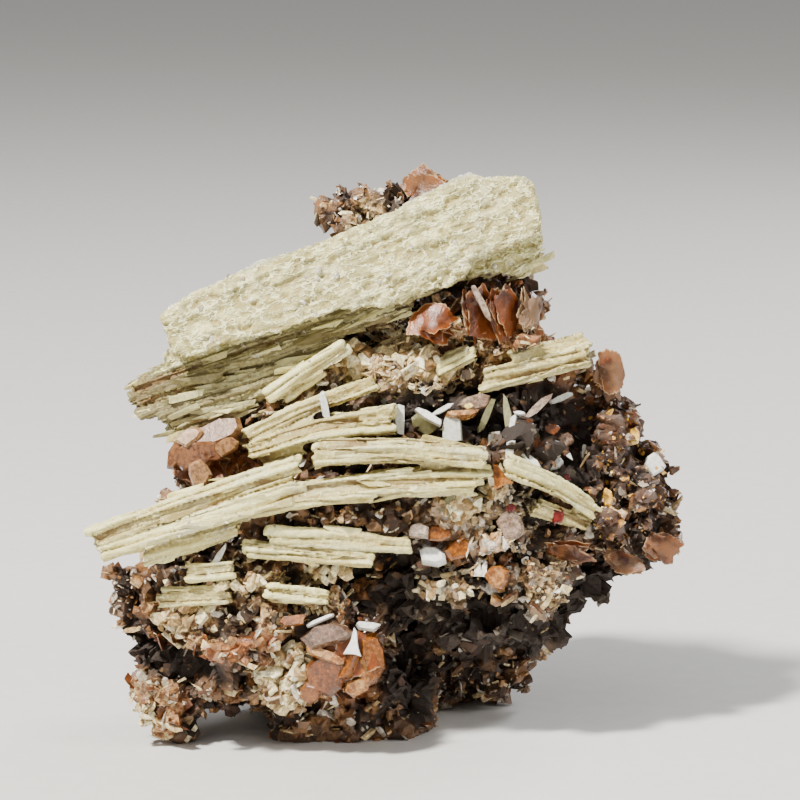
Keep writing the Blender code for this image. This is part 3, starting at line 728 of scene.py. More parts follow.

# %% [markdown]
# ## Zones of the rock
# The rock is not the same all over: glassy grains in the middle, violet-brown blocks on the right, rust and
# cream in the lower left, lumps of pale crumbs, broken blades lying between the blades, tablets in the hollow,
# and zones of painted shade underneath and in the hollows, where rock and grains are painted nearly black.
# Each zone is a few soft balls, given as a middle and three radii in millimetres, and each corner keeps how
# much of each zone it has.

# %% Zone weights
ZONES = {
    "glassy": [((4.5, -5.5, 9.5), (5, 4, 5.5)), ((3.5, 4, 18), (6, 5, 4)), ((-6, 6, 8), (4, 4, 4))],
    "violet": [((12.5, -1, 13), (3.5, 6, 5.5)), ((-4, 5.5, 16), (6, 4, 5)), ((6, 5, 8), (4, 4, 5))],
    "creamy": [
        ((-10, -6.5, 6.6), (2.4, 2.5, 1.7)), ((-5.2, -7, 3.6), (1.7, 2.6, 2)), ((-5, -6.5, 7.6), (3, 3, 1.4)),
        ((0.2, -3.2, 19.4), (6, 3.5, 2)), ((-0.8, -1, 25.2), (1.4, 2.5, 1.2)),
        ((4.3, -6.3, 12.4), (1.5, 1.8, 1.6)), ((2.6, -5.8, 8), (2.4, 2, 0.9)),
        ((7.4, -4.8, 8.3), (1.8, 2, 1.2)), ((6.2, -5.4, 11), (1.4, 2, 1.4)),
        ((-11.5, -5, 2.2), (1.2, 3, 1.8)), ((5, 5, 21), (4, 3, 2)), ((-8, 5, 4), (3, 3, 3)),
    ],
    # Painted shade: where these balls lie, the rock and its grains are painted nearly black.
    "dark": [
        ((12, -1, 5.2), (5, 6, 3.4)), ((4.2, -4, 3.6), (4.6, 4, 3.6)), ((-11.6, -4, 4.2), (1.8, 3.6, 1)),
        ((-7.6, -5, 1), (2.2, 3.6, 0.9)), ((7, -3.6, 16.2), (3.4, 2.6, 1.6)),
        ((9, -3.6, 14.6), (1.5, 2.4, 2)), ((0.6, -5.5, 6), (1.2, 3, 3)), ((-9.5, -3, 16.2), (2, 1.6, 0.8)),
        ((-4, 5, 3), (6, 3, 2.4)), ((3.4, -4.4, 16.4), (4.6, 1.8, 1.3)), ((-9, -6.4, 4.5), (1.8, 2.6, 0.8)),
    ],
    "lumpy": [
        ((-5.1, -7, 3.8), (1.3, 1.8, 1.8)), ((-9.7, -6.5, 7), (1.6, 1.8, 1.1)),
        ((4.2, -6.4, 12.5), (1, 1.6, 1.2)), ((2.6, -5.8, 8), (1.5, 1.6, 0.6)),
        ((7.2, -4.7, 7.9), (1, 1.6, 0.8)), ((-1.2, -3.6, 19.7), (1.6, 2, 0.9)),
        ((1.4, -3.6, 19.4), (1.3, 2, 0.9)), ((-11.9, -5.5, 1.6), (0.7, 1.6, 0.9)),
        ((-4.2, -6.6, 7.6), (1.8, 1.6, 0.7)), ((8.2, -4.4, 9.9), (0.8, 1.4, 0.6)),
        ((-8.6, 4.5, 4.5), (1.6, 2, 1.4)), ((4.5, 5, 20.5), (1.6, 2, 1.2)),
    ],
    "debris": [
        ((-1.5, -2.6, 18.9), (3, 2.6, 1.7)), ((2.4, -3, 18.8), (2.8, 2.4, 1.4)),
        ((-4.8, -3.2, 17.8), (1.8, 2.2, 1.1)), ((-7.2, -4.4, 16.9), (2.2, 2, 0.8)),
        ((-7.8, -6.8, 9), (3, 2, 0.9)), ((0, -2.5, 20.6), (3, 2, 0.8)), ((6.8, -3.2, 19.6), (3, 2, 0.6)),
        ((6.6, -5.6, 12.6), (1.8, 2, 1)), ((0, 6, 15.5), (5, 2.5, 1.5)),
    ],
    "tablets": [((3.4, -4.5, 16.2), (4.6, 2.6, 1.9)), ((8.4, -3.6, 14.8), (2, 2.6, 2))],
    "rusty": [
        ((-1.8, -6.5, 4.4), (2.2, 4, 2.8)), ((-8.5, -6, 6), (4, 3, 1.8)), ((-11.5, -5, 2), (1.6, 3, 1.6)),
        ((6, -3, 20.5), (4, 3, 3)), ((-9.5, -4, 13.5), (3.5, 3, 2.5)), ((9, 3, 14), (4, 5, 4)),
        ((2.4, -6, 10.4), (1.6, 2, 1)), ((5.4, -6, 9), (1.2, 2, 1.2)),
    ],
}
RIM = 1.25
RIM_WIDTH = 0.5


def zone_weight(places, balls):
    """1 inside the balls and 0 outside, with a soft rim."""
    weight = np.zeros(len(places))
    for centre, radii in balls:
        away = np.linalg.norm((places - centre) / radii, axis=1)
        weight = np.maximum(weight, np.clip((RIM - away) / RIM_WIDTH, 0, 1))
    return weight


ROCK_VOXEL = 0.18
BOX_ROOM = 0.25
BRIGHT_SHARES = {"creamy": 0.6, "lumpy": 0.85, "debris": 0.75}
rock = fine_copy("matrix", "rock", ROCK_VOXEL)
blade_surface = surface_of([name for name in frame["nodes"] if name != "matrix"])
write(rock.data, "heading", np.tile((1.0, 0.05, 0.3), (len(rock.data.vertices), 1)))
write(rock.data, "near", distances(rock.data, blade_surface))
places = corners(rock.data) / MM
for name, balls in ZONES.items():
    write(rock.data, name, zone_weight(places, balls))
box_low, box_high = np.array(cad_low) / MM, np.array(cad_high) / MM
inside = np.minimum(places[:, :2] - box_low[:2], box_high[:2] - places[:, :2]).min(axis=1)
write(rock.data, "room", inside + BOX_ROOM)
shares = [share * zone_weight(places, ZONES[name]) for name, share in BRIGHT_SHARES.items()]
write(rock.data, "plain", 1 - np.max(shares, axis=0))
print("corners of the rock:", len(rock.data.vertices))

# %% [markdown]
# ## The rock's finish
# The ground between the grains is a dark brown matt crust, redder or more violet by zone, and each facet
# has its own tone. Low facets are painted nearly black as painted shade in the hollows, and lighter facets
# are a little glossy, as broken crystal faces are. The shade zones are painted nearly black as painted shade
# and stay matt.

# %% Brown rock
matrix_brown, graph, shader = new_material("matrix_brown")
place = object_mm(graph)
speck = graph.noise(place, 4.0, 4.0, 0.65)
cloud = graph.noise(place, 0.5, 3.0, 0.6)
tint = graph.kept("tint")
rise = graph.kept("rise")
dark = graph.kept("dark")
colour = graph.mix(graph.between(tint, 0.15, 0.85), (0.045, 0.020, 0.008), (0.21, 0.105, 0.042))
colour = graph.layered(colour, [
    (graph.kept("rusty") * graph.between(speck, 0.3, 0.6), (0.40, 0.14, 0.035)),
    (graph.kept("violet") * graph.between(tint, 0.2, 0.7), (0.14, 0.08, 0.055)),
    (graph.kept("creamy") * graph.between(speck, 0.42, 0.62), (0.60, 0.43, 0.21)),
    (graph.kept("glassy") * graph.between(tint, 0.3, 0.9) * 0.7, (0.44, 0.31, 0.19)),
    (graph.between(cloud, 0.50, 0.66) * 0.6, (0.05, 0.03, 0.02)),
    # Painted shade: the shade zones are painted nearly black.
    (dark * 0.9, (0.014, 0.008, 0.005)),
    # Painted shade: low facets in the hollows are painted nearly black.
    (graph.between(rise, 0.05, -0.3) * 0.9, (0.022, 0.012, 0.007)),
])
feed(graph, shader, Base_Color=colour, Roughness=0.75 - tint * (1 - dark) * 0.45, IOR=1.54)
feed(graph, shader, Normal=bumped(graph, speck, 0.08))
run(blocky_rock, rock, {"Material": matrix_brown, "Seed": 3.0, **ROCK})
placed(rock, "matrix_brown", "matrix")

# %% [markdown]
# ## Brown plates
# Thin plates of a rust-brown mineral stand between the blades like pages. A page is not one smooth disc: it
# is a stack of bent sheets with broken edges, a little turned against each other. Each sheet is a wheel of
# corners whose rim follows a few random chords, and the stack keeps to the place and size of its solid.

# %% Where the plates are
PLATES = {
    "brown_plate_under_slab": ((2.2, -4.4, 20.9), (1.5, 1.2), 0.45, 0.7, (0.1, -0.8, 0.7), (0.2, 0, 1), 0),
    "brown_lamella_left": ((4.3, -4.1, 21.3), (1.3, 1.8), 0.45, 0.35, (0.8, -0.5, 0.2), (-0.3, 0, 1), 0),
    "brown_lamella_middle": ((5.6, -3.9, 21.3), (1.3, 1.8), 0.4, 0.4, (0.85, -0.5, 0.1), (-0.1, 0, 1), 0),
    "brown_lamella_right": ((6.9, -3.2, 21.45), (1.2, 1.35), 0.4, 0.4, (0.9, -0.4, 0.2), (-0.1, 0, 1), 1),
    "brown_plate_top": ((1.7, 0.6, 26.9), (1.6, 1.2), 0.6, 0.3, (-0.3, -0.9, 0.3), (0.5, 0, 1), 0.5),
    "brown_plate_right_end": ((10.9, -1.8, 17.9), (0.9, 1.4), 0.6, 0.3, (0.4, -0.9, 0.1), (-0.2, 0, 1), 0.6),
    "brown_plate_left": ((-9.2, -4, 13.6), (2.2, 1.2), 0.6, 0.5, (-0.3, -0.8, 0.5), (0.4, 0, 1), 0.15),
    "brown_plate_fan": ((9, -4.9, 9.7), (1.5, 0.8), 0.4, 0.3, (0, -0.7, -0.7), (0, 0, 1), 0.2),
    "brown_plate_low_right": ((11.7, -3, 8.8), (1.3, 0.7), 0.5, 0.2, (0.1, -0.9, 0.3), (0.4, 0, 1), 0.7),
    "brown_plate_far_right": ((13.6, -1.6, 9.2), (1.1, 0.9), 0.5, 0.3, (0.4, -0.9, 0.2), (0.3, 0, 1), 0.4),
    "brown_plate_front": ((-1.9, -7.6, 5.3), (1.3, 1.7), 0.6, 0.4, (0.3, -0.9, 0.3), (-0.3, 0, 1), 0),
}
SHEETS = 4
FAN = 1.0
CURL = 0.13
SECTORS = 56
RINGS = 9


def broken_rim(dice, corners_wanted=10):
    """How far out a broken sheet reaches in each direction: straight chords between random corners."""
    turns = sorted(dice.uniform(0, math.tau) for _ in range(corners_wanted))
    reach = [dice.uniform(0.66, 1.06) for _ in turns]
    xs = [math.cos(turn) * far for turn, far in zip(turns, reach)]
    ys = [math.sin(turn) * far for turn, far in zip(turns, reach)]
    rim = []
    for sector in range(SECTORS):
        turn = math.tau * sector / SECTORS
        after = next((i for i, t in enumerate(turns) if t > turn), 0)
        one, two = Vector((xs[after - 1], ys[after - 1])), Vector((xs[after], ys[after]))
        ray, chord = Vector((math.cos(turn), math.sin(turn))), two - one
        cross = ray.x * chord.y - ray.y * chord.x
        far = (one.x * chord.y - one.y * chord.x) / cross if abs(cross) > 0.01 else one.length
        rim.append(min(max(far, 0.5), 1.06) * dice.uniform(0.88, 1.0))
    return rim


def broken_sheet(shape, dice, node, level, thickness):
    """One bent sheet of a plate, as closed faces in the given bmesh, marked for the colours."""
    centre, (wide, high), _, bend, normal, up, paleness = PLATES[node]
    out = Vector(normal).normalized()
    right = Vector(up).cross(out).normalized()
    rise = out.cross(right)
    rim = broken_rim(dice)
    slip = (dice.uniform(-0.1, 0.1), dice.uniform(-0.1, 0.1))
    lean = (level * FAN + dice.uniform(-0.05, 0.05), dice.uniform(-0.08, 0.08))
    begun = dice.uniform(0, math.tau)
    marks = shape.verts.layers.float["rim"]
    pale = shape.verts.layers.float["pale"]
    sides = []
    for side in (0.5, -0.5):
        wheel = []
        for ring in range(RINGS + 1):
            share = ring / RINGS
            row = []
            for sector in range(SECTORS if ring else 1):
                turn = math.tau * sector / SECTORS
                across = wide * (share * rim[sector] * math.cos(turn) + slip[0])
                along = high * (share * rim[sector] * math.sin(turn) + slip[1])
                ripple = 0.02 * math.sin(across * 7 + level * 9) * math.sin(along * 5 + level * 4)
                curl = CURL * share**2 * math.sin(2 * turn + begun)
                depth = level + lean[0] * across + lean[1] * along - bend * (across / wide) ** 2 + ripple
                depth += curl + side * thickness * (1.0 - 0.5 * share)
                place = Vector(centre) + right * across + rise * along + out * depth
                corner = shape.verts.new(place * MM)
                corner[marks] = share
                corner[pale] = paleness
                row.append(corner)
            wheel.append(row)
        sides.append(wheel)
    for wheel, turned in zip(sides, (False, True)):
        for inner, outer in zip(wheel, wheel[1:]):
            for sector in range(SECTORS):
                after = (sector + 1) % SECTORS
                ends = [inner[sector % len(inner)], outer[sector], outer[after]]
                if len(inner) > 1:
                    ends.append(inner[after])
                shape.faces.new(ends[::-1] if turned else ends)
    for sector in range(SECTORS):
        after = (sector + 1) % SECTORS
        front, back = sides[0][-1], sides[1][-1]
        shape.faces.new([front[sector], back[sector], back[after], front[after]])


print("plates:", len(PLATES))

# %% [markdown]
# ## The plates' finish
# The plates are glossy and partly see-through: red-brown to nearly black, with a painted amber glow of light
# through the thin edge towards a broken rim here and there. A few are altered to a pinkish cream. A coat
# gives the gloss of a cleavage face.

# %% Rust-brown plate
plate_rust, graph, shader = new_material("plate_rust")
place = object_mm(graph)
cloud = graph.noise(place, 0.9, 3.0, 0.6)
grain = graph.noise(place, 7.0, 4.0, 0.65)
rim = graph.kept("rim")
patch = graph.noise(place, 1.3, 2.0, 0.5)
colour = graph.mix(graph.between(cloud, 0.36, 0.62), (0.06, 0.012, 0.003), (0.25, 0.062, 0.011))
colour = graph.layered(colour, [
    # Painted glow of light through the thin edge: orange towards the rim, in patches.
    (graph.between(rim, 0.4, 0.95) * graph.between(patch, 0.42, 0.60) * 0.85, (0.38, 0.085, 0.006)),
    (graph.kept("pale") * graph.between(cloud, 0.34, 0.50) * 0.8, (0.30, 0.185, 0.09)),
    (graph.between(grain, 0.58, 0.70) * 0.3, (0.55, 0.32, 0.14)),
    (graph.between(rim, 0.92, 0.99) * graph.between(patch, 0.42, 0.55) * 0.7, (0.78, 0.58, 0.32)),
])
feed(graph, shader, Base_Color=colour, Roughness=0.22 + grain * 0.2, IOR=1.5, Transmission_Weight=0.3)
feed(graph, shader, Coat_Weight=0.08, Coat_Roughness=0.2, Normal=bumped(graph, cloud * 2 + grain, 0.03))

# %% The plates' stacks of sheets
for number, (node, values) in enumerate(PLATES.items()):
    dice = random.Random(200 + number)
    shape = bmesh.new()
    shape.verts.layers.float.new("rim")
    shape.verts.layers.float.new("pale")
    thick = values[2]
    for layer in range(SHEETS):
        level = thick * (layer / (SHEETS - 1) - 0.5) * 1.1
        broken_sheet(shape, dice, node, level, thick / SHEETS * 0.5)
    placed(made(shape, node.replace("brown", "broken"), plate_rust), "plate_rust", node)

# %% [markdown]
# ## Grains
# Thousands of small crystals cover the rock. They are scattered over its surface with Geometry Nodes:
# points at a least distance from each other, thinned by a zone, each with one of a few chips turned to the
# surface and then leaned by chance. A chip is the hull of a few points, so it has flat faces and only about
# 20 triangles. Close to a blade the chips are smaller, so that they fill the gap and do not cover the
# blade.

# %% The scatter tree
INPUTS = ("Spacing", "Smallest", "Largest", "Upright", "Lean", "Patchy", "Sink", "Shunned")
inputs = {"Material": "Material", "Chips": "Collection", "Zone": "String"}
inputs = {**inputs, **dict.fromkeys(INPUTS, "Float"), "Seed": "Int"}
graph, given, end = geometry_tree("grown grains", inputs)


def chance(graph, low, high, seed, kind="FLOAT"):
    """A random value for each point. A number and a vector have their sockets in other places."""
    first, out = {"FLOAT": (2, 1), "FLOAT_VECTOR": (0, 0)}[kind]
    sockets = {first: low, first + 1: high, "Seed": seed}
    return graph.add("FunctionNodeRandomValue", {"data_type": kind}, sockets, out)


seed = given["Seed"]
zone = kept_here(graph, given["Zone"])
near = kept_here(graph, "near")
place = graph.grown(graph.add("GeometryNodeInputPosition"), 1 / MM)
patches = graph.noise(graph.vector("ADD", place, graph.triple(seed, 0.0, 0.0)), 0.9, 2.0)
patches = graph.between(patches, 0.46, 0.58)
wanted = graph.between(zone, 0.0, 1.0) * (1 - given["Patchy"] * (1 - patches))
wanted = wanted * graph.between(near, 0.05, 0.4) * (1 - kept_here(graph, "dark") * given["Shunned"])
points = graph.add("GeometryNodeDistributePointsOnFaces", {"distribute_method": "POISSON"}, {
    "Mesh": given["Geometry"], "Distance Min": given["Spacing"] * MM, "Density Max": 4e6,
    "Density Factor": wanted, "Seed": seed,
})
heading = graph.grown(kept_here(graph, "heading", "FLOAT_VECTOR"), 1 - given["Upright"])
heading = graph.vector("ADD", heading, graph.grown(points.other("Normal"), given["Upright"]))
turned = graph.add("FunctionNodeAlignRotationToVector", {"axis": "Z"}, {"Vector": heading})
lean = graph.add("FunctionNodeEulerToRotation", {}, {
    "Euler": graph.grown(chance(graph, (-1, -1, -3.1), (1, 1, 3.1), seed + 1, "FLOAT_VECTOR"), given["Lean"]),
})
sockets = {"Rotation": turned, "Rotate By": lean}
turned = graph.add("FunctionNodeRotateRotation", {"rotation_space": "LOCAL"}, sockets)
size = graph.math("POWER", chance(graph, 0.0, 1.0, seed + 2), 2.5)
size = given["Smallest"] + size * (given["Largest"] - given["Smallest"])
size = graph.math("MINIMUM", size, graph.math("MAXIMUM", near * 0.9, given["Smallest"] * 0.5))
marked = keep_number(graph, points, "tint", chance(graph, 0.0, 1.0, seed + 3))
inward = graph.grown(points.other("Normal"), size * given["Sink"] * -MM)
marked = graph.add("GeometryNodeSetPosition", {}, {"Geometry": marked, "Offset": inward})
chips = graph.add("GeometryNodeCollectionInfo", {}, {
    "Collection": given["Chips"], "Separate Children": True, "Reset Children": True,
})
shown = graph.add("GeometryNodeInstanceOnPoints", {}, {
    "Points": marked, "Instance": chips, "Pick Instance": True, "Rotation": turned, "Scale": size,
})
grown_grains = end(shown)
print("nodes in the scatter tree:", len(grown_grains.nodes))

# %% Chips to scatter
CHIP_KINDS = 7


def chip_collection(name, sides, corners_wanted, squareness, seed):
    """A few crystal chips of one millimetre: hulls of points near the faces of a box of these sides."""
    dice = random.Random(seed)
    chips = bpy.data.collections.new(name)
    for _ in range(CHIP_KINDS):
        shape = bmesh.new()
        for _ in range(corners_wanted):
            ray = Vector([dice.gauss(0, 1) for _ in range(3)]).normalized()
            boxed = [math.copysign(abs(value) ** squareness, value) for value in ray]
            reach = [0.5 * MM * side * value for side, value in zip(sides, boxed)]
            shape.verts.new([value * dice.uniform(0.85, 1.1) for value in reach])
        hull = bmesh.ops.convex_hull(shape, input=shape.verts)
        spare = set(hull["geom_interior"] + hull["geom_unused"])
        spare = [item for item in spare if isinstance(item, bmesh.types.BMVert)]
        bmesh.ops.delete(shape, geom=spare, context="VERTS")
        bmesh.ops.recalc_face_normals(shape, faces=shape.faces)
        made(shape, name, home=chips)
    return chips


CHIPS = {
    "block": chip_collection("block", (1.0, 0.8, 0.65), 10, 0.5, 11),
    "flake": chip_collection("flake", (1.3, 1.0, 0.16), 12, 0.5, 12),
    "splinter": chip_collection("splinter", (0.3, 0.22, 1.5), 10, 0.4, 13),
    "crumb": chip_collection("crumb", (1.0, 0.85, 0.8), 9, 0.8, 14),
}
print("chips of each kind:", CHIP_KINDS)

# %% [markdown]
# ## The grains' finishes
# One function makes the finish of every kind of grain, because they differ only in colour, gloss and how
# much light passes through. Each grain keeps a random number, which picks its tone between the kind's
# colours, and the share of the ground's painted shade, which paints it darker as painted shade.

# %% Grain materials
DEEPEST = 0.3


def grain_finish(name, roughness, transmission, coat, own, grime, shades):
    """A crystal finish that runs through a range of shades, by each grain's own share and by place, painted
    darker as painted shade in the shade zones.
    """
    material, graph, shader = new_material(name)
    place = object_mm(graph)
    speck = graph.noise(place, 5.0, 4.0, 0.65)
    tint = graph.kept("tint")
    cloud = graph.between(graph.noise(place, 0.75, 3.0, 0.6), 0.3, 0.7)
    share = tint * own + cloud * (0.95 - own) + speck * 0.3 - 0.12
    colour = graph.add("ShaderNodeValToRGB", {"stops": SHADES[shades]}, {"Fac": share})
    deep = tuple(DEEPEST * value for value in SHADES[shades][0][1:])
    dark = graph.kept("dark")
    # The speck patches are grime; in the shade zones grains are painted near their deepest colour as painted
    # shade.
    colour = graph.layered(colour, [(graph.between(speck, 0.56, 0.40) * grime, deep), (dark * 0.85, deep)])
    feed(graph, shader, Base_Color=colour, Roughness=roughness + speck * 0.2 + dark * 0.4, IOR=1.54)
    feed(graph, shader, Transmission_Weight=transmission, Coat_Weight=(1 - dark * 0.8) * coat)
    feed(graph, shader, Coat_Roughness=0.08, Normal=bumped(graph, speck, 0.03))
    return material


# Each range of shades: places from 0 to 1, each with the three values of its colour.
SHADES = {
    "browns": [
        (0, 0.035, 0.01, 0.003), (0.35, 0.14, 0.052, 0.015), (0.65, 0.36, 0.17, 0.055), (1, 0.86, 0.63, 0.32),
    ],
    "violets": [
        (0, 0.04, 0.015, 0.008), (0.5, 0.085, 0.033, 0.014), (0.8, 0.21, 0.095, 0.042), (1, 0.82, 0.46, 0.1),
    ],
    "creams": [(0, 0.38, 0.19, 0.06), (0.45, 0.74, 0.57, 0.28), (1, 0.98, 0.93, 0.66)],
    "whites": [(0, 0.3, 0.22, 0.14), (0.5, 0.64, 0.57, 0.46), (1, 0.97, 0.95, 0.88)],
    "pales": [(0, 0.13, 0.055, 0.015), (0.3, 0.44, 0.28, 0.11), (0.55, 0.8, 0.66, 0.36), (1, 1, 0.96, 0.68)],
    "rusts": [(0, 0.04, 0.012, 0.004), (0.6, 0.18, 0.05, 0.01), (1, 0.4, 0.13, 0.02)],
    "golds": [(0, 0.42, 0.17, 0.02), (0.6, 0.84, 0.46, 0.07), (1, 0.98, 0.76, 0.26)],
    "ice": [(0, 0.14, 0.12, 0.04), (0.4, 0.36, 0.35, 0.19), (0.7, 0.72, 0.75, 0.67), (1, 1, 1, 0.97)],
    "ambers": [
        (0, 0.05, 0.012, 0.003), (0.45, 0.22, 0.06, 0.008), (0.75, 0.38, 0.12, 0.012), (1, 0.78, 0.46, 0.18),
    ],
    "smokes": [(0, 0.05, 0.025, 0.015), (0.5, 0.25, 0.14, 0.085), (1, 0.68, 0.54, 0.42)],
    "tans": [
        (0, 0.07, 0.015, 0.006), (0.5, 0.24, 0.1, 0.035), (0.8, 0.46, 0.27, 0.12), (1, 0.66, 0.45, 0.28),
    ],
    "garnets": [(0, 0.08, 0.004, 0.003), (1, 0.3, 0.02, 0.012)],
}
# Each finish: its slot, roughness, transmission, coat, how far a grain has its own shade, grime and shades.
KINDS = {
    "brown_grain": ("matrix_brown", 0.3, 0, 0.3, 0.45, 0.5, "browns"),
    "violet_grain": ("matrix_brown", 0.15, 0, 0.35, 0.45, 0.5, "violets"),
    "cream_grain": ("leifite_cream", 0.4, 0, 0, 0.45, 0.5, "creams"),
    "pale_crumb": ("leifite_cream", 0.35, 0, 0, 0.8, 0.4, "pales"),
    "white_crystal": ("leifite_cream", 0.15, 0, 0.4, 0.45, 0.5, "whites"),
    "glassy_grain": ("leifite_cream", 0.08, 0.6, 0, 0.45, 0.5, "whites"),
    "rust_flake": ("plate_rust", 0.25, 0, 0.3, 0.45, 0.5, "rusts"),
    "gold_grain": ("plate_rust", 0.15, 0, 0.5, 0.45, 0.5, "golds"),
    "tablet_glass": ("leifite_cream", 0.10, 0.15, 0.4, 0.85, 0.15, "ice"),
    "amber_block": ("plate_rust", 0.15, 0.25, 0.5, 0.7, 0.5, "ambers"),
    "smoky_block": ("matrix_brown", 0.15, 0.25, 0.5, 0.7, 0.5, "smokes"),
    "lens_brown": ("matrix_brown", 0.2, 0, 0.4, 0.8, 0.5, "tans"),
    "garnet_grain": ("plate_rust", 0.12, 0.3, 0.5, 0.7, 0.5, "garnets"),
}
FINISHES = {name: grain_finish(name, *values[1:]) for name, values in KINDS.items()}
SLOTS = {name: values[0] for name, values in KINDS.items()}
print("grain finishes:", len(FINISHES))

# %% Grains by kind
write(rock.data, "anywhere", np.ones(len(rock.data.vertices)))
# Each kind: its chips, its finish and its zone, then spacing, smallest, largest, upright, lean, patchy, sink
# and shunned.
GRAINS = {
    "brown_grains": ("block", "brown_grain", "plain", 0.44, 0.3, 1.05, 1, 3, 0.2, 0.3, 0.8),
    "violet_grains": ("block", "violet_grain", "violet", 0.5, 0.3, 1.05, 1, 3, 0.5, 0.2, 0.8),
    "cream_crumbs": ("crumb", "cream_grain", "creamy", 0.28, 0.18, 0.7, 1, 3, 0.6, 0, 0.6),
    "cream_lumps": ("crumb", "pale_crumb", "lumpy", 0.26, 0.3, 0.9, 1, 3, 0, -0.2, 0),
    "debris_laths": ("splinter", "cream_grain", "debris", 0.3, 0.6, 2.2, 0, 0.7, 0, 0, 0.2),
    "debris_chips": ("flake", "pale_crumb", "debris", 0.4, 0.3, 1.1, 1, 2, 0.2, 0, 0.2),
    "gold_crumbs": ("crumb", "gold_grain", "violet", 0.45, 0.18, 0.6, 1, 3, 0.8, 0, 0.8),
    "cream_chips": ("splinter", "cream_grain", "creamy", 0.9, 0.4, 1.2, 0, 1, 0.3, 0, 0.8),
    "white_crumbs": ("crumb", "white_crystal", "anywhere", 0.3, 0.12, 0.45, 1, 3, 0.9, 0, 0.9),
    "glassy_grains": ("block", "glassy_grain", "glassy", 0.6, 0.3, 1.1, 1, 3, 0.4, 0.2, 0.8),
    "white_grains": ("block", "white_crystal", "glassy", 0.5, 0.2, 0.9, 1, 3, 0.6, 0.2, 0.8),
    "rust_flakes": ("flake", "rust_flake", "rusty", 0.55, 0.3, 1.15, 1, 1.4, 0.4, 0.1, 0.6),
    "loose_flakes": ("flake", "rust_flake", "plain", 1.6, 0.3, 0.9, 1, 1.6, 0, 0.2, 0.8),
    "splinters": ("splinter", "cream_grain", "anywhere", 0.9, 0.3, 1.3, 0, 0.9, 0.3, 0, 0.8),
    "white_flakes": ("flake", "white_crystal", "anywhere", 1.1, 0.3, 0.9, 1, 1.4, 0, 0, 0.8),
    "small_tablets": ("flake", "tablet_glass", "tablets", 1.2, 0.3, 1.2, 1, 3, 0.4, 0, 0),
}


def kept_in_box(mesh):
    """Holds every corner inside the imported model's box."""
    places = np.clip(corners(mesh), np.array(cad_low), np.array(cad_high))
    mesh.vertices.foreach_set("co", places.astype(np.float32).ravel())
    mesh.update()


def scattered(name, ground, finish, chips, zone, seed, *numbers):
    """A new object: chips scattered over a copy of the ground."""
    thing = linked(bpy.data.objects.new(name, ground.data.copy()))
    inputs = {"Material": finish, "Chips": CHIPS[chips], "Zone": zone, "Seed": seed}
    inputs.update((label, float(value)) for label, value in zip(INPUTS, numbers))
    return run(grown_grains, thing, inputs)


for number, (name, (chips, finish, zone, *numbers)) in enumerate(GRAINS.items()):
    grains = scattered(name, rock, FINISHES[finish], chips, zone, 50 + number * 10, *numbers)
    kept_in_box(grains.data)
    placed(grains, SLOTS[finish])

# %% [markdown]
# ## Splinters and crumbs on the crystals
# A broken blade frays into thin laths, most of all at the slab's lower edge and on its ledge. The same
# scatter tree lays splinters over each crystal, this time turned along the growth direction of its corners
# and not upright. White crumbs stick to the tip of the sheaf and here and there to the slab.

# %% Splinters and crumbs
FRAYED = {"leifite_slab": (0.3, 0.5, 1.8, 0, 0.14, 0.35, 0, 0)}
USUAL_FRAY = (0.5, 0.4, 1.8, 0, 0.14, 0.8, 0, 0)
CRUMBLY = [
    ((-12.2, -8, 10), (3, 2, 1.1)), ((-8.5, -7.5, 11.6), (3, 2, 0.7)), ((-2, -3.5, 22), (14, 3, 3.5)),
]


def joined_piece(name, things, material):
    """One piece made of several scattered ones, which then go."""
    shape = bmesh.new()
    for thing in things:
        shape.from_mesh(thing.data)
        bpy.data.objects.remove(thing)
    piece = made(shape, name, material)
    kept_in_box(piece.data)
    placed(piece, "leifite_cream")


frayed, crumbly = [], []
for number, (node, crystal) in enumerate(CRYSTALS.items()):
    write(crystal.data, "crumbly", zone_weight(corners(crystal.data) / MM, CRUMBLY))
    spread = (0.34, 0.12, 0.5, 1, 3, 0.92 if number == 0 else 0.3, 0.1, 0)
    fray = FRAYED.get(node, USUAL_FRAY)
    frayed.append(scattered("laths", crystal, leifite_cream, "splinter", "ragged", 500 + number * 10, *fray))
    finish = FINISHES["cream_grain"]
    crumbly.append(scattered("crumbs", crystal, finish, "crumb", "crumbly", 900 + number * 10, *spread))
joined_piece("blade_splinters", frayed, leifite_cream)
joined_piece("blade_crumbs", crumbly, FINISHES["white_crystal"])
for chips in CHIPS.values():
    for chip in list(chips.objects):
        bpy.data.objects.remove(chip)
    bpy.data.collections.remove(chips)
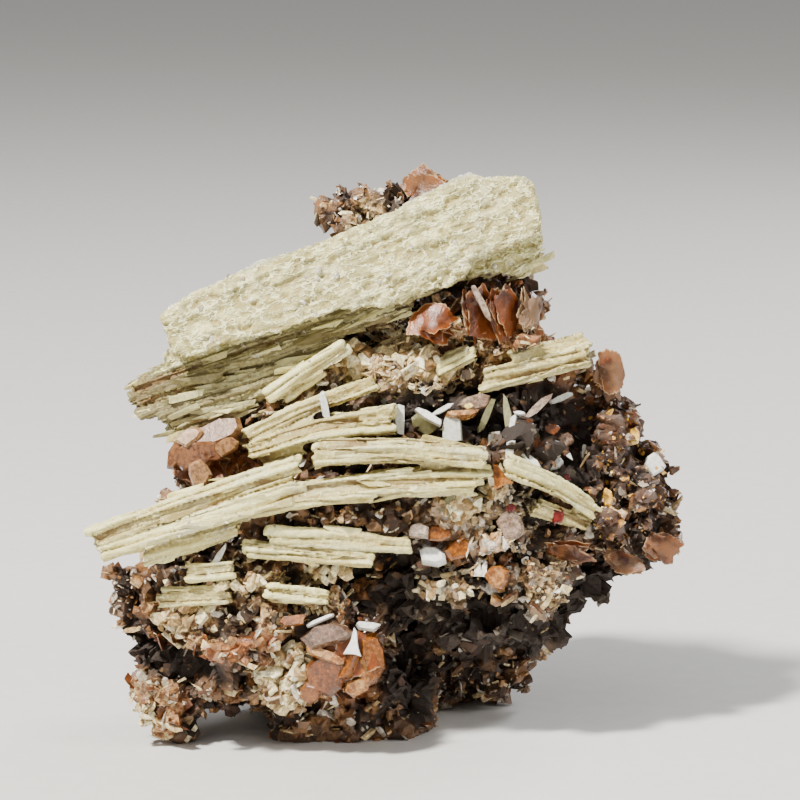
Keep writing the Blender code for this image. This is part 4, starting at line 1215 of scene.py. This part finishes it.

# %% [markdown]
# ## Crystals placed one by one
# Some small crystals are large enough to be seen one by one: white and olive tablets and shards in the dark
# hollow under the right blade, a white grain below the sheaf, a white fin over the amber block of the lower
# lobe, the rounded brown lens at the left and gold grains on the right. Each is a prism over an outline:
# its middle, its sides, its turn in degrees, how far it faces sideways and upwards, the outline's name, and
# its place in the range of colours of its kind. A heap of crumbs is many such prisms by chance, given as a
# middle, three radii, a count and a size.

# %% Crystals seen one by one
SINGLES = {
    "white": ("tablet_glass", [
        ((0.5, -5, 16.3), (0.5, 1.5, 0.3), 2, (0.2, 0.3), "tablet", 0.95),
        ((2, -5.4, 16.5), (1.5, 0.4, 0.3), -30, (0, 0.8), "shard", 0.95),
        ((1.7, -5.2, 16.1), (1.2, 0.7, 0.2), -30, (0.1, -0.2), "tablet", 0.1),
        ((3.1, -5.4, 15.9), (1, 1.2, 0.5), 180, (-0.1, 0.4), "tablet", 0.65),
        ((2.6, -5, 16.8), (1.1, 0.25, 0.2), 25, (0, 0.5), "shard", 1),
        ((4.7, -4.8, 16.4), (0.35, 2, 0.15), -27, (0.3, 0.2), "shard", 0.2),
        ((5.8, -4.4, 16.4), (0.35, 1.9, 0.15), 10, (-0.3, 0.2), "shard", 0.35),
        ((6.05, -4.6, 15.9), (0.3, 1.1, 0.25), -3, (-0.2, 0.4), "tablet", 1),
        ((5.9, -5.5, 14.9), (0.45, 1.1, 0.25), -4, (-0.1, 0.4), "tablet", 0.9),
        ((8.5, -2.8, 17), (1.2, 0.25, 0.2), 20, (0, 0.6), "shard", 0.8),
        ((6.4, -4.4, 16.5), (0.6, 0.2, 0.2), -5, (0, 0.7), "shard", 1),
        ((8, -3.6, 13.9), (1, 0.65, 0.5), 10, (-0.1, 0.7), "grain", 1),
        ((6.9, -5.4, 14.4), (1.3, 0.35, 0.25), -35, (0, 0.6), "shard", 0.9),
        ((8.6, -3.2, 14.5), (1.3, 0.28, 0.2), -50, (0.1, 0.6), "shard", 0.9),
        ((-3.3, -7.5, 6.9), (1.5, 0.18, 0.3), 21, (0, 0.7), "shard", 1),
        ((-1.7, -8.1, 6), (0.85, 1.35, 0.2), 0, (-0.2, 0.5), "fin", 1),
        ((-1, -7.5, 6.6), (1.1, 0.35, 0.35), -8, (0, 0.7), "tablet", 0.8),
        ((2.1, -6, 9.7), (1.4, 0.9, 0.7), -12, (-0.1, 0.6), "grain", 1),
        ((3, -6.5, 12.6), (0.8, 1.4, 0.4), -25, (-0.2, 0.1), "fin", 0.15),
        ((-3.1, -5.2, 17), (0.3, 1.4, 0.2), 8, (0.2, 0.3), "shard", 0.9),
        ((13.2, -1.4, 13.4), (0.9, 1.1, 0.6), 8, (0.3, 0.5), "grain", 0.95),
        ((-8.2, -7.1, 9.95), (0.3, 1.3, 0.2), -28, (0, 0.4), "shard", 0.9),
    ]),
    "amber": ("amber_block", [
        ((3.5, -5.4, 16.6), (1.5, 0.3, 0.6), 2, (0, 0.8), "tablet", 0.95),
        ((6.9, -4.5, 15.5), (1.1, 1.8, 0.3), 10, (0.2, 0.2), "fin", 0.35),
        ((8, -3.1, 15.5), (0.7, 0.5, 0.3), -20, (0, 0.4), "tablet", 0.4),
        ((-3.1, -8, 5.3), (2.2, 0.42, 0.35), -21, (0, 0.6), "tablet", 1),
        ((-2.9, -7.3, 4.3), (2, 2.3, 1.6), -10, (-0.4, 0.05), "grain", 0.4),
        ((-1.1, -7.2, 4.8), (1.5, 2.7, 1.6), -8, (0.5, 0.25), "grain", 0.75),
        ((-1.5, -7.8, 3.7), (1.2, 0.9, 0.9), 20, (0.1, 0.1), "grain", 0.95),
        ((-2, -8.1, 4.7), (0.7, 1.6, 0.5), -28, (-0.6, 0.4), "shard", 0.6),
        ((-3.7, -7.5, 3.4), (1.1, 1, 0.8), 30, (-0.2, -0.1), "grain", 0.5),
        ((5.3, -6.6, 13.9), (0.9, 1.2, 0.3), 20, (0.1, 0.4), "fin", 0.75),
        ((2.4, -6.2, 10.9), (1.1, 0.8, 0.6), -10, (0, 0.4), "grain", 0.8),
        ((3.3, -6, 10.1), (1.2, 1, 0.7), 10, (0, 0.3), "grain", 0.6),
        ((5.3, -6.6, 8.8), (1.15, 1.1, 0.8), 0, (-0.1, 0.4), "grain", 0.85),
        ((-7, -7.6, 5.8), (1.7, 0.6, 0.5), 8, (-0.2, 0.5), "grain", 0.6),
        ((-4.6, -7.9, 7), (1.3, 0.5, 0.3), 5, (0, 0.7), "tablet", 0.7),
    ]),
    "smoky": ("smoky_block", [
        ((4.2, -4.3, 17), (1.6, 0.8, 0.7), 8, (0.1, 0.4), "grain", 0.6),
        ((7.3, -3.6, 16.7), (1.8, 0.4, 0.25), 38, (0, 0.5), "shard", 0.8),
        ((8.7, -2.7, 14.9), (0.9, 0.7, 0.5), 0, (0.2, 0.4), "grain", 0.6),
        ((-2.9, -7.4, 6.1), (2.4, 1.2, 1.4), 8, (-0.1, 0.5), "grain", 0.3),
        ((1.5, -6.5, 11.1), (0.9, 0.7, 0.5), 0, (0, 0.6), "block", 0.95),
        ((5.9, -6, 11.3), (1.4, 1.6, 1), 0, (0, 0.3), "grain", 0.6),
        ((4.5, -5, 22), (0.3, 1.9, 0.15), 25, (0.2, 0.3), "shard", 0.9),
    ]),
    "brown": ("lens_brown", [
        ((-8.6, -4.2, 15.1), (3.4, 1.4, 1.8), 20, (-0.1, 0.8), "grain", 0.5),
        ((-9.3, -4.5, 14.6), (2.6, 1.5, 1.5), 12, (-0.4, 0.1), "grain", 0.25),
        ((-9.6, -4.7, 15.4), (1.5, 0.8, 0.9), 28, (-0.3, 0.5), "grain", 0.8),
        ((-8.6, -5.2, 14.6), (1, 0.6, 0.6), -10, (0.1, 0.2), "grain", 0.15),
        ((-7.9, -5.1, 15), (1.3, 0.8, 0.7), 25, (0.2, 0.3), "grain", 0.6),
        ((-10.3, -4.3, 14.4), (1, 1.4, 0.9), -15, (-0.6, 0.2), "grain", 0.35),
        ((-9.2, -5.2, 13.7), (1.2, 1.2, 0.8), 10, (-0.2, 0.1), "grain", 0.7),
    ]),
    "gold": ("gold_grain", [
        ((12.1, -1.5, 14.8), (0.7, 0.9, 0.5), 0, (0.1, 0.5), "grain", 0.9),
        ((10.7, -3.7, 12.2), (0.6, 0.9, 0.4), 10, (0, 0.4), "grain", 0.8),
        ((3.9, -4.9, 16.95), (0.5, 0.3, 0.3), 10, (0, 0.6), "grain", 1),
    ]),
    "garnet": ("garnet_grain", [
        ((8.2, -5.2, 11.6), (0.7, 0.9, 0.5), 0, (0, 0.4), "grain", 0.7),
        ((5.9, -6.2, 12.2), (0.5, 0.4, 0.3), 0, (0, 0.4), "grain", 0.4),
        ((-2.5, -7.7, 6.5), (0.5, 0.4, 0.3), 0, (0, 0.4), "grain", 0.4),
        ((8.7, -4, 13.2), (0.4, 0.5, 0.3), 0, (0, 0.4), "grain", 0.6),
    ]),
}
HEAPS = [
    ((-5.1, -6.9, 3.8), (1.3, 0.6, 1.4), 110, 0.75), ((-4.7, -6.9, 5), (0.9, 0.4, 0.5), 24, 0.65),
    ((-9.9, -6.8, 7), (1.5, 0.4, 0.7), 44, 0.65), ((3.3, -6.2, 12.4), (1, 0.5, 0.8), 50, 0.7),
    ((5.2, -6.2, 13.5), (0.5, 0.4, 0.8), 20, 0.6), ((7.2, -5.1, 7.9), (1, 0.4, 0.8), 36, 0.6),
    ((2.6, -6, 8), (1.6, 0.3, 0.5), 16, 0.5), ((-1.4, -2.8, 18.9), (1.7, 0.6, 0.9), 60, 0.8),
    ((2, -3.3, 18.7), (1.5, 0.5, 0.7), 44, 0.8), ((-11.9, -5.5, 1.6), (0.6, 0.4, 0.8), 18, 0.5),
    ((-7.4, -7.1, 8.7), (1.6, 0.3, 0.5), 24, 0.6), ((-2.6, -6.4, 9), (1.4, 0.3, 0.4), 18, 0.6),
]
OUTLINES = {
    "tablet": ((-0.42, -0.44), (-0.1, -0.5), (0.34, -0.46), (0.42, -0.1), (0.5, 0.42), (0.2, 0.5),
        (-0.44, 0.44), (-0.5, 0)),
    "shard": ((-0.5, -0.3), (-0.1, -0.5), (0.4, -0.3), (0.5, 0.05), (0.3, 0.46), (-0.2, 0.5), (-0.48, 0.2)),
    "fin": ((-0.5, -0.5), (0.1, -0.46), (0.5, -0.5), (0.3, -0.1), (0.12, 0.44), (-0.02, 0.5), (-0.2, 0.1)),
    "block": ((-0.5, -0.42), (0.38, -0.5), (0.5, 0.2), (0.1, 0.5), (-0.44, 0.36)),
    "grain": ((-0.3, -0.5), (0.25, -0.46), (0.5, -0.15), (0.44, 0.26), (0.12, 0.5), (-0.3, 0.42),
        (-0.5, 0.05)),
}
THIN = ((-0.5, 0.95), (-0.4, 1.0), (0.4, 1.0), (0.5, 0.94))
CHUNKY = ((-0.5, 0.7), (-0.25, 1.0), (0.3, 1.0), (0.5, 0.78))


def single_crystal(shape, dice, centre, sides, turn, faces, outline, tint):
    """One crystal as a prism with bevelled rims, in the given bmesh: thick ones are bevelled more."""
    turn = math.radians(turn)
    out = Vector((faces[0], -1, faces[1])).normalized()
    right = Vector((-math.sin(turn), 0, math.cos(turn))).cross(out).normalized()
    rise = out.cross(right)
    wide, high, thick = sides
    slip = (dice.uniform(-0.12, 0.12), dice.uniform(-0.12, 0.12))
    rim = [(x + dice.uniform(-0.08, 0.08), y + dice.uniform(-0.08, 0.08)) for x, y in OUTLINES[outline]]
    tints = shape.verts.layers.float["tint"]
    rings = []
    for level, share in CHUNKY if outline in ("grain", "block") else THIN:
        ring = []
        for x, y in rim:
            across = (x * share + slip[0] * level) * wide
            along = (y * share + slip[1] * level) * high
            place = Vector(centre) + right * across + rise * along + out * (level * thick)
            corner = shape.verts.new(place * MM)
            corner[tints] = tint
            ring.append(corner)
        rings.append(ring)
    for low, top in zip(rings, rings[1:]):
        for number in range(len(rim)):
            after = (number + 1) % len(rim)
            shape.faces.new([low[number], low[after], top[after], top[number]])
    shape.faces.new(rings[0][::-1])
    shape.faces.new(rings[-1])


def heap(dice, centre, radii, count, size):
    """The rows of a heap of crumbs: places, sides and shades by chance, over a flattened ball."""
    rows = []
    for _ in range(count):
        ray = Vector([dice.gauss(0, 1) for _ in range(3)]).normalized() * dice.uniform(0.6, 1.0)
        middle = [value + reach * step for value, reach, step in zip(centre, radii, ray)]
        sides = [size * dice.uniform(*share) for share in ((0.5, 1.4), (0.3, 1.0), (0.15, 0.7))]
        faces = (dice.uniform(-1.2, 1.2), dice.uniform(-0.8, 1.4))
        outline = dice.choice(("shard", "block", "tablet", "fin"))
        rows.append((middle, sides, dice.uniform(-90, 90), faces, outline, dice.random()))
    return rows


dice = random.Random(77)
crumbs = [row for values in HEAPS for row in heap(dice, *values)]
SINGLES["heaped"] = ("pale_crumb", crumbs)
for kind, (finish, rows) in SINGLES.items():
    dice = random.Random(900)
    shape = bmesh.new()
    shape.verts.layers.float.new("tint")
    for values in rows:
        single_crystal(shape, dice, *values)
    placed(made(shape, kind + "_crystals", FINISHES[finish]), SLOTS[finish])
